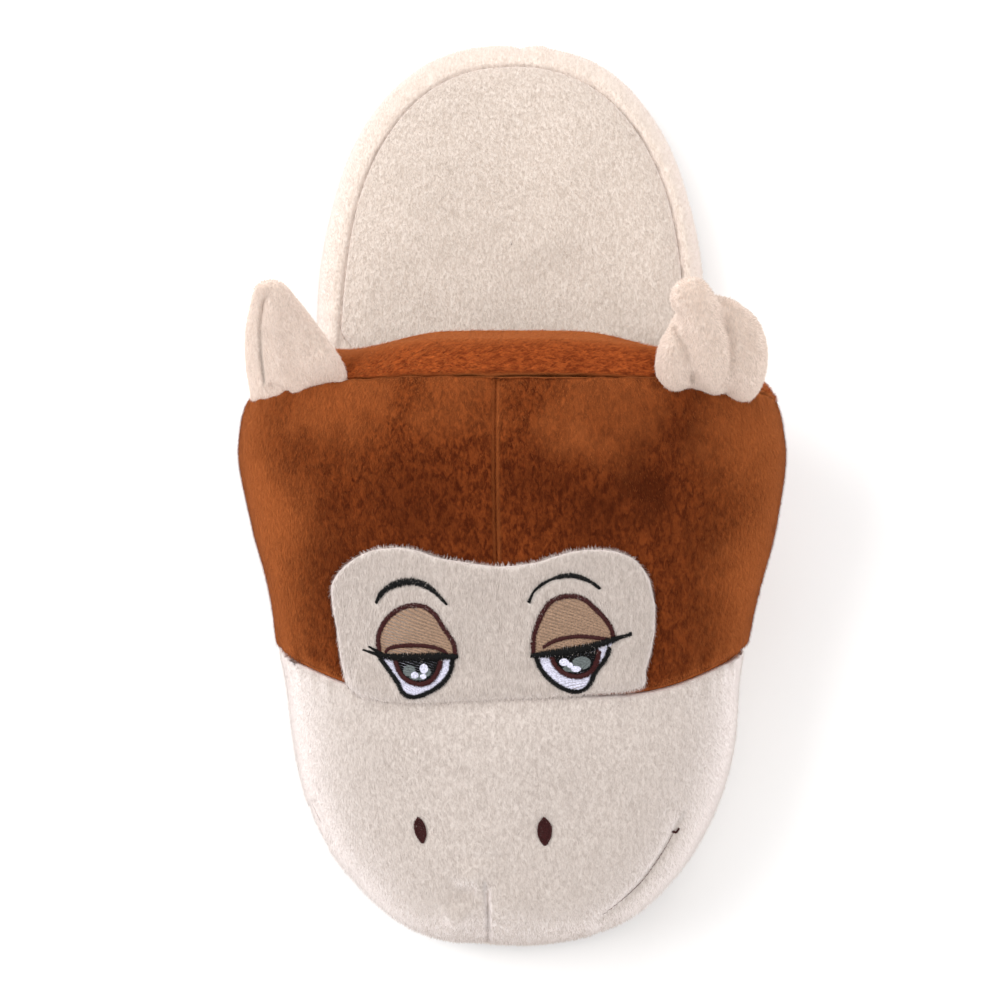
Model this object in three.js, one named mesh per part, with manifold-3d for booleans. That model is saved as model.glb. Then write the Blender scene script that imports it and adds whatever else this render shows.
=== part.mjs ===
// Animal slipper: a plush scuff whose upper is a stuffed animal head with two ears.
// The foot goes in behind the head, at the collar, and rests on a padded insole.
// Frame: millimetres, +Z up, toe towards -Y, heel towards +Y. Origin on the floor under the sole's middle.
import * as THREE from "three";
import Module from "manifold-3d";

const wasm = await Module();
wasm.setup();

// Sole outline
const SOLE_LENGTH = 275;
const BALL_WIDTH = 128;
const HEEL_WIDTH = 119;
const TOE_REACH = 77.5; // from the ball line to the tip of the toe
const HEEL_REACH = 97.5; // from the heel line to the back of the heel
const TOE_POWER = 2.32; // roundness of the toe: 2 is an ellipse, more is squarer
const HEEL_POWER = 2.42; // and of the heel

// Sole layers
const OUTSOLE_THICKNESS = 2.5;
const OUTSOLE_UNDERCUT = 1.6; // the outsole's lower edge lies this far inside its upper edge
const MIDSOLE_THICKNESS = 19.2;
const BAND_SETBACK = 0.5; // the plush band's widest line lies this far inside the outsole
const BAND_ROUND = 5; // how far the band rolls in from its widest line to its top
const BAND_TUCK = 2; // and to its lower edge
const BAND_LEVEL = 0.42; // height of the widest line, as a share of the midsole
const INSOLE_THICKNESS = 5.2;
const INSOLE_CROWN = 1.8; // part of that thickness that is the pad's dome
const INSOLE_EASE = 1; // inside the head the pad is cut this much smaller than the lining
const INSOLE_MARGIN = 7.2; // behind the head the plush band shows this wide round the pad
const INSOLE_TURN = 8; // length over which the pad's edge goes from one to the other
const TOE_SPRING = 3; // rise of the toe's tip off the floor
const TOE_SPRING_LENGTH = 43; // and the length that bends
const CLEARANCE = 0.3;

// Upper: the foot's room first, then the stuffing round it
const HEAD_LENGTH = 151.5; // from the collar seam to the nose
const NOSE_SETBACK = 1.5; // the nose stops this far short of the sole's tip
const SEAT_INSET = 5.5; // the head's foot lies this far inside the sole's outline
const LINING_INSET = 10.5; // and the lining's foot this far
const INSTEP_HEIGHT = 65; // the lining's top above the seat, at the collar
const CROWN_WALL = 10.5; // stuffing over the instep
const CHEEK_BULGE = 13.6; // the cheeks stand out beyond the muzzle by this much
const MUZZLE_OVERHANG = 0.4; // the muzzle is wider than the ball of the sole by this much on each side
const LINING_LEVEL = 0.37; // height of the lining's widest line, as a share of its own height
const LINING_SPREAD = 2.4; // the lining is wider at mid height than at its foot by this much
const HEAD_POWER = 2.3; // roundness of the sections over the top
const NOSE_POWER = 2.2; // roundness of the nose from the side

// Collar band: the facing that closes the stuffing round the opening
const COLLAR_DEPTH = 14.2; // from the collar seam back to the lip, at the top
const COLLAR_FLARE = 7.9; // the lip's feet lie this much further back
const FLARE_POWER = 1.4; // how late the lip turns back on its way down
const COLLAR_PUFF = 2.4;
const LIP_THICKNESS = 5;
const LIP_DROP = 3.2; // the lip's inner edge comes this far into the opening

// Overlays
const PANEL_THICKNESS = 1.7;
const PANEL_STEP = 1; // width of the seam valley behind the muzzle panel
const PATCH_THICKNESS = 1.5;
const PATCH_LOFT = 0.7; // the patch's underside stands this far off the crown
const PATCH_LENGTH = 39; // from the muzzle seam to the top of the patch
const PATCH_WIDTH = 89;
const FACE_SHIFT = -5; // the face and ears are sewn on this far from the middle

// Ears
const EAR_INSET = 8; // the middle of an ear's foot lies this far inside the sole's widest line
const EAR_LENGTH = 43;
const EAR_WIDTH = 35;
const EAR_THICKNESS = 13;
const EAR_SLANT = 30; // degrees that the upright ear's front looks up
const EAR_CUP = 0.25; // depth of the hollow down its front, as a share of its thickness
const CURL_LENGTH = 40; // the curled ear, measured along its roll

// Numbers of steps
const OUTLINE_STEPS = 28; // along half of the sole's outline
const CROWN_ROWS = 12;
const MUZZLE_ROWS = 14;
const SIDE_STEPS = 6; // round the head, from its foot to the widest line
const TOP_STEPS = 24; // and over the top
const PATCH_STEPS = 44; // round the face patch
const EAR_STEPS = 16; // round an ear or a roll
const CURL_STEPS = 10; // along a roll
const WALK_STEPS = 900;

// Lengths along the slipper that several pieces share
const toeTip = -SOLE_LENGTH / 2;
const heelTip = SOLE_LENGTH / 2;
const ballLine = toeTip + TOE_REACH;
const heelLine = heelTip - HEEL_REACH;
const springLine = toeTip + TOE_SPRING_LENGTH;
const noseTip = toeTip + NOSE_SETBACK;
const collarSeam = noseTip + HEAD_LENGTH;

// Heights that several pieces share
const midsoleFloor = OUTSOLE_THICKNESS + CLEARANCE;
const midsoleTop = midsoleFloor + MIDSOLE_THICKNESS;
const seat = midsoleTop + CLEARANCE;
const crownHeight = INSTEP_HEIGHT + CROWN_WALL;

// Sections of the head, a row for each place from the collar seam (0) to the nose (1).
// cheek: share of the cheeks' bulge. crown: height above the seat, as a share of crownHeight.
// level: height of the widest line, as a share of that row's crown.
const SECTIONS = [
  { at: 0.0, cheek: 0.84, crown: 1.0, level: 0.445 },
  { at: 0.1, cheek: 1.0, crown: 1.006, level: 0.445 },
  { at: 0.22, cheek: 0.78, crown: 0.965, level: 0.44 },
  { at: 0.33, cheek: 0.48, crown: 0.89, level: 0.44 },
  { at: 0.45, cheek: 0.16, crown: 0.81, level: 0.435 },
  { at: 0.54, cheek: 0.0, crown: 0.765, level: 0.42 },
  { at: 0.66, cheek: 0.0, crown: 0.735, level: 0.375 },
  { at: 0.8, cheek: 0.0, crown: 0.69, level: 0.34 },
  { at: 1.0, cheek: 0.0, crown: 0.663, level: 0.313 },
];

// The seam between crown and muzzle. round: share of the way from a foot (0) to the top (0.5).
// back: how far behind the nose it lies, as a share of the head's length.
const MUZZLE_SEAM = [
  { round: 0.0, back: 0.61 },
  { round: 0.14, back: 0.56 },
  { round: 0.26, back: 0.505 },
  { round: 0.38, back: 0.447 },
  { round: 0.5, back: 0.435 },
];

// Half of the face patch, from the muzzle seam up its side and over to the dip between the brows.
// across: share of half its width. up: share of its length.
const PATCH_OUTLINE = [
  { across: 0.0, up: 0.0 },
  { across: 0.5, up: 0.01 },
  { across: 0.9, up: 0.07 },
  { across: 0.96, up: 0.3 },
  { across: 1.0, up: 0.66 },
  { across: 0.93, up: 0.88 },
  { across: 0.7, up: 1.0 },
  { across: 0.42, up: 0.98 },
  { across: 0.0, up: 0.88 },
];

// The upright ear, a row for each section from its foot to its tip, measured from the middle of its foot.
// lean, out and rise: towards the heel, the side and up, as shares of EAR_LENGTH.
// wide and thick: shares of EAR_WIDTH and EAR_THICKNESS. turn: degrees that the outer edge hangs down.
const EAR_SECTIONS = [
  { lean: -0.08, out: -0.01, rise: -0.14, wide: 1.04, thick: 0.9, turn: 42 },
  { lean: 0.12, out: 0.02, rise: 0.16, wide: 0.9, thick: 1.0, turn: 34 },
  { lean: 0.26, out: 0.06, rise: 0.42, wide: 0.64, thick: 0.9, turn: 22 },
  { lean: 0.36, out: 0.08, rise: 0.68, wide: 0.4, thick: 0.7, turn: 12 },
  { lean: 0.42, out: 0.09, rise: 0.86, wide: 0.26, thick: 0.5, turn: 8 },
  { lean: 0.44, out: 0.09, rise: 0.91, wide: 0.16, thick: 0.3, turn: 8 },
];

// The curled ear: three rolls of plush before a broad back. All but the angles are shares of CURL_LENGTH.
// side, back and up: a roll's middle from the middle of the ear's foot. wide, deep and long: its half sizes.
// pitch: degrees that it stands up from the floor, pointing to the heel. tilt: degrees outwards.
const CURL_ROLLS = [
  { side: 0.05, back: 0.24, up: 0.29, wide: 0.17, deep: 0.18, long: 0.5, pitch: 50, tilt: -9 },
  { side: 0.28, back: 0.17, up: 0.04, wide: 0.21, deep: 0.19, long: 0.44, pitch: 52, tilt: 3 },
  { side: -0.17, back: 0.09, up: 0.14, wide: 0.14, deep: 0.15, long: 0.34, pitch: 52, tilt: 2 },
  { side: 0.1, back: 0.22, up: 0.12, wide: 0.33, deep: 0.19, long: 0.42, pitch: 52, tilt: 0 },
];

// Degrees round the plush band's side, from its lower edge by its widest line to its top.
const BAND_ANGLES = [-90, -45, 0, 25, 45, 65, 90];

// The insole's rounded edge. out: share of the edge's height that it draws in. up: share climbed.
const INSOLE_EDGE = [
  { out: 0, up: 0 },
  { out: 0, up: 0.45 },
  { out: 0.5, up: 0.85 },
];

// Rings of the insole's dome, as shares of its outline about its spine, and where that spine ends.
const INSOLE_DOME = [0.92, 0.8, 0.6, 0.25];
const SPINE_END = 0.7;

// Shares of the way over the collar's facing, from the seam to the lip.
const FACING_SHARES = [0, 0.2, 0.45, 0.72, 1];

// Rings of the face patch, from its edge to its middle, and how far up that middle lies.
const PATCH_RINGS = [1, 0.84, 0.67, 0.5, 0.33, 0.16];
const PATCH_MIDDLE = 0.45;

const lerp = THREE.MathUtils.lerp;
const clamp = THREE.MathUtils.clamp;
const radians = THREE.MathUtils.degToRad;
const smooth = (a) => THREE.MathUtils.smoothstep(a, 0, 1);

// A value from a table's column, on a smooth curve through its rows.
function readTable(table, key, column, at) {
  const last = table.length - 1;
  let i = 0;
  while (i < last - 1 && at > table[i + 1][key]) i += 1;
  const [a, b] = [table[i], table[i + 1]];
  const before = table[Math.max(i - 1, 0)];
  const after = table[Math.min(i + 2, last)];
  const span = b[key] - a[key];
  const slopeA = (b[column] - before[column]) / (b[key] - before[key]);
  const slopeB = (after[column] - a[column]) / (after[key] - a[key]);
  const u = clamp((at - a[key]) / span, 0, 1);
  const [u2, u3] = [u * u, u * u * u];
  return (
    (2 * u3 - 3 * u2 + 1) * a[column] +
    (u3 - 2 * u2 + u) * span * slopeA +
    (3 * u2 - 2 * u3) * b[column] +
    (u3 - u2) * span * slopeB
  );
}

// How wide a rounded end still is at share a of its length.
const closing = (a, power) => Math.pow(Math.max(0, 1 - Math.pow(clamp(a, 0, 1), power)), 1 / power);

// The toe end bends up off the floor, and everything on the sole goes with it.
function lift(y) {
  const a = clamp((springLine - y) / (springLine - toeTip), 0, 1);
  return TOE_SPRING * a * a;
}

const place = (x, y, z) => new THREE.Vector3(x, y, z + lift(y));

// Half the sole's outline. v runs from the toe's tip (0) by the ball (1) and the heel line (2)
// to the back of the heel (3).
function outlinePoint(v, inset) {
  const [ball, heel] = [BALL_WIDTH / 2 - inset, HEEL_WIDTH / 2 - inset];
  if (v <= 1) {
    const angle = (v * Math.PI) / 2;
    const across = Math.pow(Math.sin(angle), 2 / TOE_POWER);
    const along = Math.pow(Math.cos(angle), 2 / TOE_POWER);
    return [ball * across, ballLine - (TOE_REACH - inset) * along];
  }
  if (v <= 2) return [lerp(ball, heel, smooth(v - 1)), lerp(ballLine, heelLine, v - 1)];
  const angle = ((v - 2) * Math.PI) / 2;
  const across = v === 3 ? 0 : Math.pow(Math.cos(angle), 2 / HEEL_POWER);
  return [heel * across, heelLine + (HEEL_REACH - inset) * Math.pow(Math.sin(angle), 2 / HEEL_POWER)];
}

// Half the sole's width at y, for an outline drawn inset by that much.
function soleHalfWidth(y, inset) {
  const [ball, heel] = [BALL_WIDTH / 2 - inset, HEEL_WIDTH / 2 - inset];
  if (y < ballLine) return ball * closing((ballLine - y) / (TOE_REACH - inset), TOE_POWER);
  if (y > heelLine) return heel * closing((y - heelLine) / (HEEL_REACH - inset), HEEL_POWER);
  return lerp(ball, heel, smooth((y - ballLine) / (heelLine - ballLine)));
}

// Places on the half outline that divide it evenly.
function evenPlaces(count) {
  const walked = [0];
  let [x, y] = outlinePoint(0, 0);
  for (let i = 1; i <= WALK_STEPS; i += 1) {
    const [nextX, nextY] = outlinePoint((3 * i) / WALK_STEPS, 0);
    walked.push(walked[i - 1] + Math.hypot(nextX - x, nextY - y));
    [x, y] = [nextX, nextY];
  }
  const places = [];
  let step = 0;
  for (let i = 0; i <= count; i += 1) {
    while (step < WALK_STEPS && walked[step] < (walked[WALK_STEPS] * i) / count) step += 1;
    places.push((3 * step) / WALK_STEPS);
  }
  return places;
}

const outlinePlaces = evenPlaces(OUTLINE_STEPS);

// A ring round the sole, from the toe's tip by the +X side. The inset may be a function of the place along
// the sole. A share below 1 shrinks the ring towards the sole's spine.
function soleRing(inset, share, height) {
  const spineFront = toeTip + SPINE_END * TOE_REACH;
  const spineBack = heelTip - SPINE_END * HEEL_REACH;
  const half = outlinePlaces.map((v) => {
    const [x, y] = outlinePoint(v, typeof inset === "function" ? inset(outlinePoint(v, 0)[1]) : inset);
    const spine = clamp(y, spineFront, spineBack);
    return [x * share, spine + (y - spine) * share];
  });
  const mirrored = half.slice(1, -1).reverse();
  const ring = [...half, ...mirrored.map(([x, y]) => [-x, y])];
  return ring.map(([x, y]) => place(x, y, height));
}

// Triangles between two rows of points. Rows that close on themselves say so.
function strip(rowA, rowB, closed = false) {
  const faces = [];
  const count = closed ? rowA.length : rowA.length - 1;
  for (let j = 0; j < count; j += 1) {
    const k = (j + 1) % rowA.length;
    faces.push([rowA[j], rowA[k], rowB[k]], [rowA[j], rowB[k], rowB[j]]);
  }
  return faces;
}

const stack = (rows, closed) => rows.slice(1).flatMap((row, i) => strip(rows[i], row, closed));
const flipped = (faces) => faces.map(([a, b, c]) => [a, c, b]);

// Closes a ring that is the same on both sides by joining each point to its mirror image.
function cap(ring) {
  const faces = [];
  const count = ring.length;
  for (let i = 0; i < count / 2; i += 1) {
    const [a, b] = [ring[i], ring[i + 1]];
    const [c, d] = [ring[count - i - 1], ring[(count - i) % count]];
    faces.push([a, b, c], [a, c, d]);
  }
  return faces;
}

// A geometry from loose triangles: equal corners become one, and collapsed triangles go.
function geometryOf(faces) {
  const [numbers, positions, indices] = [new Map(), [], []];
  const numberOf = (p) => {
    const key = [p.x, p.y, p.z].map((c) => Math.round(c * 2000)).join();
    if (!numbers.has(key)) {
      numbers.set(key, positions.length / 3);
      positions.push(p.x, p.y, p.z);
    }
    return numbers.get(key);
  };
  for (const face of faces) {
    const [a, b, c] = face.map(numberOf);
    if (a !== b && b !== c && a !== c) indices.push(a, b, c);
  }
  const geometry = new THREE.BufferGeometry();
  geometry.setAttribute("position", new THREE.Float32BufferAttribute(positions, 3));
  geometry.setIndex(indices);
  return geometry;
}

function solidOf(geometry) {
  const vertProperties = new Float32Array(geometry.getAttribute("position").array);
  const triVerts = new Uint32Array(geometry.getIndex().array);
  return new wasm.Manifold(new wasm.Mesh({ numProp: 3, vertProperties, triVerts }));
}

function geometryFromSolid(solid) {
  const made = solid.getMesh();
  const geometry = new THREE.BufferGeometry();
  geometry.setAttribute("position", new THREE.Float32BufferAttribute(made.vertProperties, 3));
  geometry.setIndex([...made.triVerts]);
  return geometry;
}

// A sole layer from a profile that runs from the underside's edge up to the top.
function layerGeometry(profile) {
  const rings = profile.map(({ inset, share = 1, height }) => soleRing(inset, share, height));
  return geometryOf([...flipped(cap(rings[0])), ...stack(rings, true), ...cap(rings[rings.length - 1])]);
}

function outsoleGeometry() {
  return layerGeometry([
    { inset: OUTSOLE_UNDERCUT, height: 0 },
    { inset: 0, height: OUTSOLE_THICKNESS / 2 },
    { inset: 0, height: OUTSOLE_THICKNESS },
  ]);
}

// The foam with its plush band: the band swells out to its widest line and rolls in to a flat top.
function midsoleGeometry() {
  const widest = midsoleFloor + BAND_LEVEL * MIDSOLE_THICKNESS;
  const side = BAND_ANGLES.map((degrees) => {
    const angle = radians(degrees);
    const depth = degrees < 0 ? BAND_TUCK : BAND_ROUND - BAND_SETBACK;
    const reach = degrees < 0 ? widest - midsoleFloor : midsoleTop - widest;
    return { inset: BAND_SETBACK + depth * (1 - Math.cos(angle)), height: widest + reach * Math.sin(angle) };
  });
  return layerGeometry(side);
}

// The padded insole: flat below, domed above, and rounded where it meets the lining.
function insoleGeometry() {
  const turn = collarSeam + COLLAR_DEPTH + COLLAR_FLARE + 2 * CLEARANCE;
  const insetBy = (more) => (y) =>
    more + lerp(LINING_INSET + INSOLE_EASE, INSOLE_MARGIN, smooth((y - turn) / INSOLE_TURN));
  const edge = INSOLE_THICKNESS - INSOLE_CROWN;
  const side = INSOLE_EDGE.map(({ out, up }) => ({ inset: insetBy(out * edge), height: seat + up * edge }));
  const brim = INSOLE_EDGE[INSOLE_EDGE.length - 1].out * edge;
  const dome = INSOLE_DOME.map((share) => ({
    inset: insetBy(brim),
    share,
    height: seat + INSOLE_THICKNESS - INSOLE_CROWN * Math.pow(share, 3),
  }));
  return layerGeometry([...side, ...dome]);
}

// The head's rows: s runs from the collar seam (0) by the ball line (0.5) to the nose (1).
const BALL_ROW = 0.5;

function rowAngle(s) {
  return (clamp((s - BALL_ROW) / (1 - BALL_ROW), 0, 1) * Math.PI) / 2;
}

function rowAt(y) {
  if (y >= ballLine) return (BALL_ROW * (collarSeam - y)) / (collarSeam - ballLine);
  const share = clamp((ballLine - y) / (ballLine - noseTip), 0, 1);
  return lerp(BALL_ROW, 1, (2 / Math.PI) * Math.asin(Math.pow(share, TOE_POWER / 2)));
}

// Where row s lies along the slipper, for a form whose tip is that far in front of the ball line.
function rowY(s, reach) {
  if (s <= BALL_ROW) return lerp(collarSeam, ballLine, s / BALL_ROW);
  return ballLine - reach * Math.pow(Math.sin(rowAngle(s)), 2 / TOE_POWER);
}

const rowWidth = (s) => (s >= 1 ? 0 : Math.pow(Math.cos(rowAngle(s)), 2 / TOE_POWER));

// Share of a section's climb that lies below its widest line.
const SIDE_SHARE = SIDE_STEPS / (SIDE_STEPS + TOP_STEPS / 2);

// A point of an arched section. t runs from the -X foot (0) over the top (0.5) to the +X foot (1).
function archPoint(t, section) {
  const { foot, wide, level, rise, floor } = section;
  const side = t < 0.5 ? -1 : 1;
  const climbed = 1 - Math.abs(2 * t - 1);
  if (climbed < SIDE_SHARE) {
    const angle = ((climbed / SIDE_SHARE) * Math.PI) / 2;
    const share = Math.sin(angle);
    return {
      x: side * lerp(foot, wide, share),
      z: lerp(floor, level, 1 - Math.cos(angle)),
      share,
    };
  }
  const angle = (((climbed - SIDE_SHARE) / (1 - SIDE_SHARE)) * Math.PI) / 2;
  const across = climbed >= 1 ? 0 : Math.pow(Math.cos(angle), 2 / HEAD_POWER);
  return { x: side * wide * across, z: level + rise * Math.pow(Math.sin(angle), 2 / HEAD_POWER), share: 1 };
}

const headHalfWidth = BALL_WIDTH / 2 + MUZZLE_OVERHANG;

// The head's own surface, or one that lies depth inside it.
function headPoint(s, t, depth = 0) {
  const reach = ballLine - noseTip - depth;
  const y = rowY(s, reach);
  const at = (collarSeam - y) / HEAD_LENGTH;
  const bulge = CHEEK_BULGE * readTable(SECTIONS, "at", "cheek", at);
  const crown = crownHeight * readTable(SECTIONS, "at", "crown", at);
  const level = crown * readTable(SECTIONS, "at", "level", at);
  const inset = SEAT_INSET + depth;
  const footY = rowY(s, TOE_REACH - inset);
  const point = archPoint(t, {
    foot: s <= BALL_ROW ? soleHalfWidth(y, inset) : (BALL_WIDTH / 2 - inset) * rowWidth(s),
    wide: (headHalfWidth + bulge - depth) * rowWidth(s),
    level: seat + level,
    rise: (crown - level - depth) * closing((ballLine - y) / reach, NOSE_POWER),
    floor: seat,
  });
  return place(point.x, lerp(footY, y, point.share), point.z);
}

// The lining: the foot's own room inside the head.
function liningPoint(s, t) {
  const reach = TOE_REACH - LINING_INSET;
  const y = rowY(s, reach);
  const at = (collarSeam - y) / HEAD_LENGTH;
  const crown = crownHeight * readTable(SECTIONS, "at", "crown", at) - CROWN_WALL;
  const level = LINING_LEVEL * crown;
  const foot = s <= BALL_ROW ? soleHalfWidth(y, LINING_INSET) : (BALL_WIDTH / 2 - LINING_INSET) * rowWidth(s);
  const spread = LINING_SPREAD * (1 - smooth(s / BALL_ROW));
  const point = archPoint(t, {
    foot,
    wide: foot + spread,
    level: seat + level,
    rise: (crown - level) * closing((ballLine - y) / reach, NOSE_POWER),
    floor: seat,
  });
  return place(point.x, y, point.z);
}

const ROUND_STEPS = 2 * SIDE_STEPS + TOP_STEPS;
const columns = Array.from({ length: ROUND_STEPS + 1 }, (_, j) => j / ROUND_STEPS);

function muzzleSeamY(t) {
  return noseTip + HEAD_LENGTH * readTable(MUZZLE_SEAM, "round", "back", 0.5 - Math.abs(t - 0.5));
}

// Rows of the upper in column t: evenly spaced to the muzzle seam, and from the seam's valley to the nose.
function crownRows(t) {
  const seam = rowAt(muzzleSeamY(t));
  return Array.from({ length: CROWN_ROWS + 1 }, (_, i) => (seam * i) / CROWN_ROWS);
}

function muzzleRows(t) {
  const start = rowAt(muzzleSeamY(t) - PANEL_STEP);
  return Array.from({ length: MUZZLE_ROWS + 1 }, (_, i) => lerp(start, 1, i / MUZZLE_ROWS));
}

// Turns a function of the column into rows of points.
function rowsOf(rowsIn, pointAt) {
  const byColumn = columns.map((t) => rowsIn(t).map((s) => pointAt(s, t)));
  return byColumn[0].map((_, i) => byColumn.map((column) => column[i]));
}

// A shell between an outer and an inner set of rows, closed at its first row and at both feet.
function shellFaces(outer, inner) {
  const foot = (rows, j) => rows.map((row) => row[j]);
  const last = columns.length - 1;
  return [
    ...flipped(stack(outer)),
    ...stack(inner),
    ...strip(outer[0], inner[0]),
    ...strip(foot(inner, 0), foot(outer, 0)),
    ...strip(foot(outer, last), foot(inner, last)),
  ];
}

const recess = PANEL_THICKNESS + CLEARANCE;

function upperGeometry() {
  const outer = [
    ...rowsOf(crownRows, (s, t) => headPoint(s, t)),
    ...rowsOf(muzzleRows, (s, t) => headPoint(s, t, recess)),
  ];
  const inner = [...rowsOf(crownRows, liningPoint), ...rowsOf(muzzleRows, liningPoint)];
  return geometryOf(shellFaces(outer, inner));
}

function muzzlePanelGeometry() {
  const outer = rowsOf(muzzleRows, (s, t) => headPoint(s, t));
  const inner = rowsOf(muzzleRows, (s, t) => headPoint(s, t, PANEL_THICKNESS));
  return geometryOf(shellFaces(outer, inner));
}

// The collar band's profile in column t, from the collar seam over the puffed facing and round the lip.
// grow makes the same form a little larger, for cutting what sits on it.
function collarProfile(t, grow = 0) {
  const front = collarSeam + CLEARANCE;
  const climbed = 1 - Math.abs(2 * t - 1);
  const seam = headPoint(0, t).setY(front);
  const lining = liningPoint(0, t).setY(front);
  const out = seam.clone().sub(lining).normalize();
  const lipBack = front + COLLAR_DEPTH + COLLAR_FLARE * Math.pow(1 - climbed, FLARE_POWER);
  const drop = LIP_DROP * smooth(3 * climbed);
  const lipInner = lining.clone().addScaledVector(out, -drop).setY(lipBack - 0.5 * LIP_THICKNESS);
  const lipOuter = lipInner.clone().addScaledVector(out, LIP_THICKNESS);
  const facing = FACING_SHARES.map((share) => {
    const puff = COLLAR_PUFF * Math.sin(Math.PI * share) * smooth(2 * climbed) + grow;
    const point = seam.clone().lerp(lipOuter, share).addScaledVector(out, puff);
    return point.setY(point.y + puff * smooth(4 * share));
  });
  const lip = lipInner.clone().lerp(lipOuter, 0.5).setY(lipBack + grow);
  const hollow = lining.clone().lerp(lipInner, 0.5);
  return [...facing, lip, lipInner, hollow, lining].map((p) => p.setZ(Math.max(p.z, seat)));
}

function collarBandFaces(grow = 0) {
  const rows = columns.map((t) => collarProfile(t, grow));
  const fan = (ring) => ring.slice(2).map((p, i) => [ring[0], ring[i + 1], p]);
  return [...flipped(stack(rows, true)), ...fan(rows[0]), ...flipped(fan(rows[rows.length - 1]))];
}

const collarBandGeometry = () => geometryOf(collarBandFaces());

// The head's section over the crown at y.
function crownSection(y) {
  const at = (collarSeam - y) / HEAD_LENGTH;
  const crown = crownHeight * readTable(SECTIONS, "at", "crown", at);
  const level = crown * readTable(SECTIONS, "at", "level", at);
  const bulge = CHEEK_BULGE * readTable(SECTIONS, "at", "cheek", at);
  const past = (ballLine - y) / (ballLine - noseTip);
  return {
    wide: (headHalfWidth + bulge) * closing(past, TOE_POWER),
    level: seat + level,
    rise: (crown - level) * closing(past, NOSE_POWER),
  };
}

// A point over the crown at x and y, lifted off the head along its own slope.
function crownPoint(x, y, offset) {
  const { wide, level, rise } = crownSection(y);
  const across = Math.abs(x) / wide;
  const height = closing(across, HEAD_POWER);
  const slopeX = (Math.sign(x) * Math.pow(across, HEAD_POWER - 1)) / wide;
  const normal = new THREE.Vector3(slopeX, 0, Math.pow(height, HEAD_POWER - 1) / rise).normalize();
  return place(x, y, level + rise * height).addScaledVector(normal, offset);
}

// The muzzle seam's place at x over the crown.
function muzzleSeamAcross(x) {
  const { wide } = crownSection(muzzleSeamY(0.5));
  const angle = Math.acos(Math.pow(Math.abs(x) / wide, HEAD_POWER / 2));
  const climbed = lerp(SIDE_SHARE, 1, (2 * angle) / Math.PI);
  return muzzleSeamY(climbed / 2);
}

// The face patch: rings from its outline in to its middle, laid on the crown.
function facePatchGeometry() {
  const low = muzzleSeamY(0.5) + CLEARANCE;
  const corner = (row, side) =>
    new THREE.Vector3((side * row.across * PATCH_WIDTH) / 2, low + row.up * PATCH_LENGTH, 0);
  const right = PATCH_OUTLINE.map((row) => corner(row, 1));
  const left = PATCH_OUTLINE.slice(1, -1).reverse().map((row) => corner(row, -1));
  const curve = new THREE.CatmullRomCurve3([...right, ...left], true, "centripetal");
  const outline = curve.getSpacedPoints(PATCH_STEPS).slice(0, -1);
  const middle = new THREE.Vector3(0, low + PATCH_MIDDLE * PATCH_LENGTH, 0);
  const ring = (share, offset) =>
    outline.map((p) => {
      const x = lerp(middle.x, p.x, share) + FACE_SHIFT;
      const y = Math.max(lerp(middle.y, p.y, share), muzzleSeamAcross(x) + CLEARANCE);
      return crownPoint(x, y, offset);
    });
  const sheet = (offset) => {
    const rings = PATCH_RINGS.map((share) => ring(share, offset));
    const last = rings[rings.length - 1];
    const centre = crownPoint(middle.x + FACE_SHIFT, middle.y, offset);
    const disc = last.map((p, i) => [centre, p, last[(i + 1) % last.length]]);
    return { edge: rings[0], faces: [...stack(rings, true), ...disc] };
  };
  const over = sheet(PATCH_LOFT + PATCH_THICKNESS);
  const under = sheet(PATCH_LOFT);
  return geometryOf([...over.faces, ...flipped(under.faces), ...flipped(strip(over.edge, under.edge, true))]);
}

// The head and collar as one form, a clearance larger than the real ones, to cut the ears' feet.
// It is filled half way in, which is deeper than an ear's foot reaches.
function earSeat() {
  const rows = rowsOf(crownRows, (s, t) => headPoint(s, t, -CLEARANCE));
  const core = rows.map((row) => row.map((p) => new THREE.Vector3(p.x / 2, p.y, (seat + p.z) / 2)));
  const front = flipped(strip(rows[rows.length - 1], core[core.length - 1]));
  const head = solidOf(geometryOf([...shellFaces(rows, core), ...front]));
  return head.add(solidOf(geometryOf(collarBandFaces(CLEARANCE))));
}

// The middle of an ear's foot, on the collar seam.
const earSpread = BALL_WIDTH / 2 - EAR_INSET;
const earFoot = (side) => crownPoint(FACE_SHIFT + side * earSpread, collarSeam, 0);

// The upright ear: flattened sections along a line that leans back and out, hollowed down the front.
function uprightEarGeometry(side) {
  const foot = earFoot(side);
  const slant = radians(EAR_SLANT);
  const rings = EAR_SECTIONS.map((row) => {
    const step = new THREE.Vector3(side * row.out, row.lean, row.rise).multiplyScalar(EAR_LENGTH);
    const centre = foot.clone().add(step);
    const turn = radians(row.turn);
    const width = new THREE.Vector3(Math.cos(turn), 0, -side * Math.sin(turn));
    const depth = new THREE.Vector3(0, Math.cos(slant), -Math.sin(slant));
    return Array.from({ length: EAR_STEPS }, (_, i) => {
      const angle = (2 * Math.PI * i) / EAR_STEPS;
      const cup = 2 * EAR_CUP * Math.pow(Math.max(0, -Math.sin(angle)), 2);
      return centre
        .clone()
        .addScaledVector(width, 0.5 * EAR_WIDTH * row.wide * Math.cos(angle))
        .addScaledVector(depth, 0.5 * EAR_THICKNESS * row.thick * (Math.sin(angle) + cup));
    });
  });
  const disc = (ring) => ring.slice(2).map((p, i) => [ring[0], ring[i + 1], p]);
  const faces = [...stack(rings, true), ...flipped(disc(rings[0])), ...disc(rings[rings.length - 1])];
  return geometryFromSolid(solidOf(geometryOf(faces)).subtract(earSeat()));
}

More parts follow.
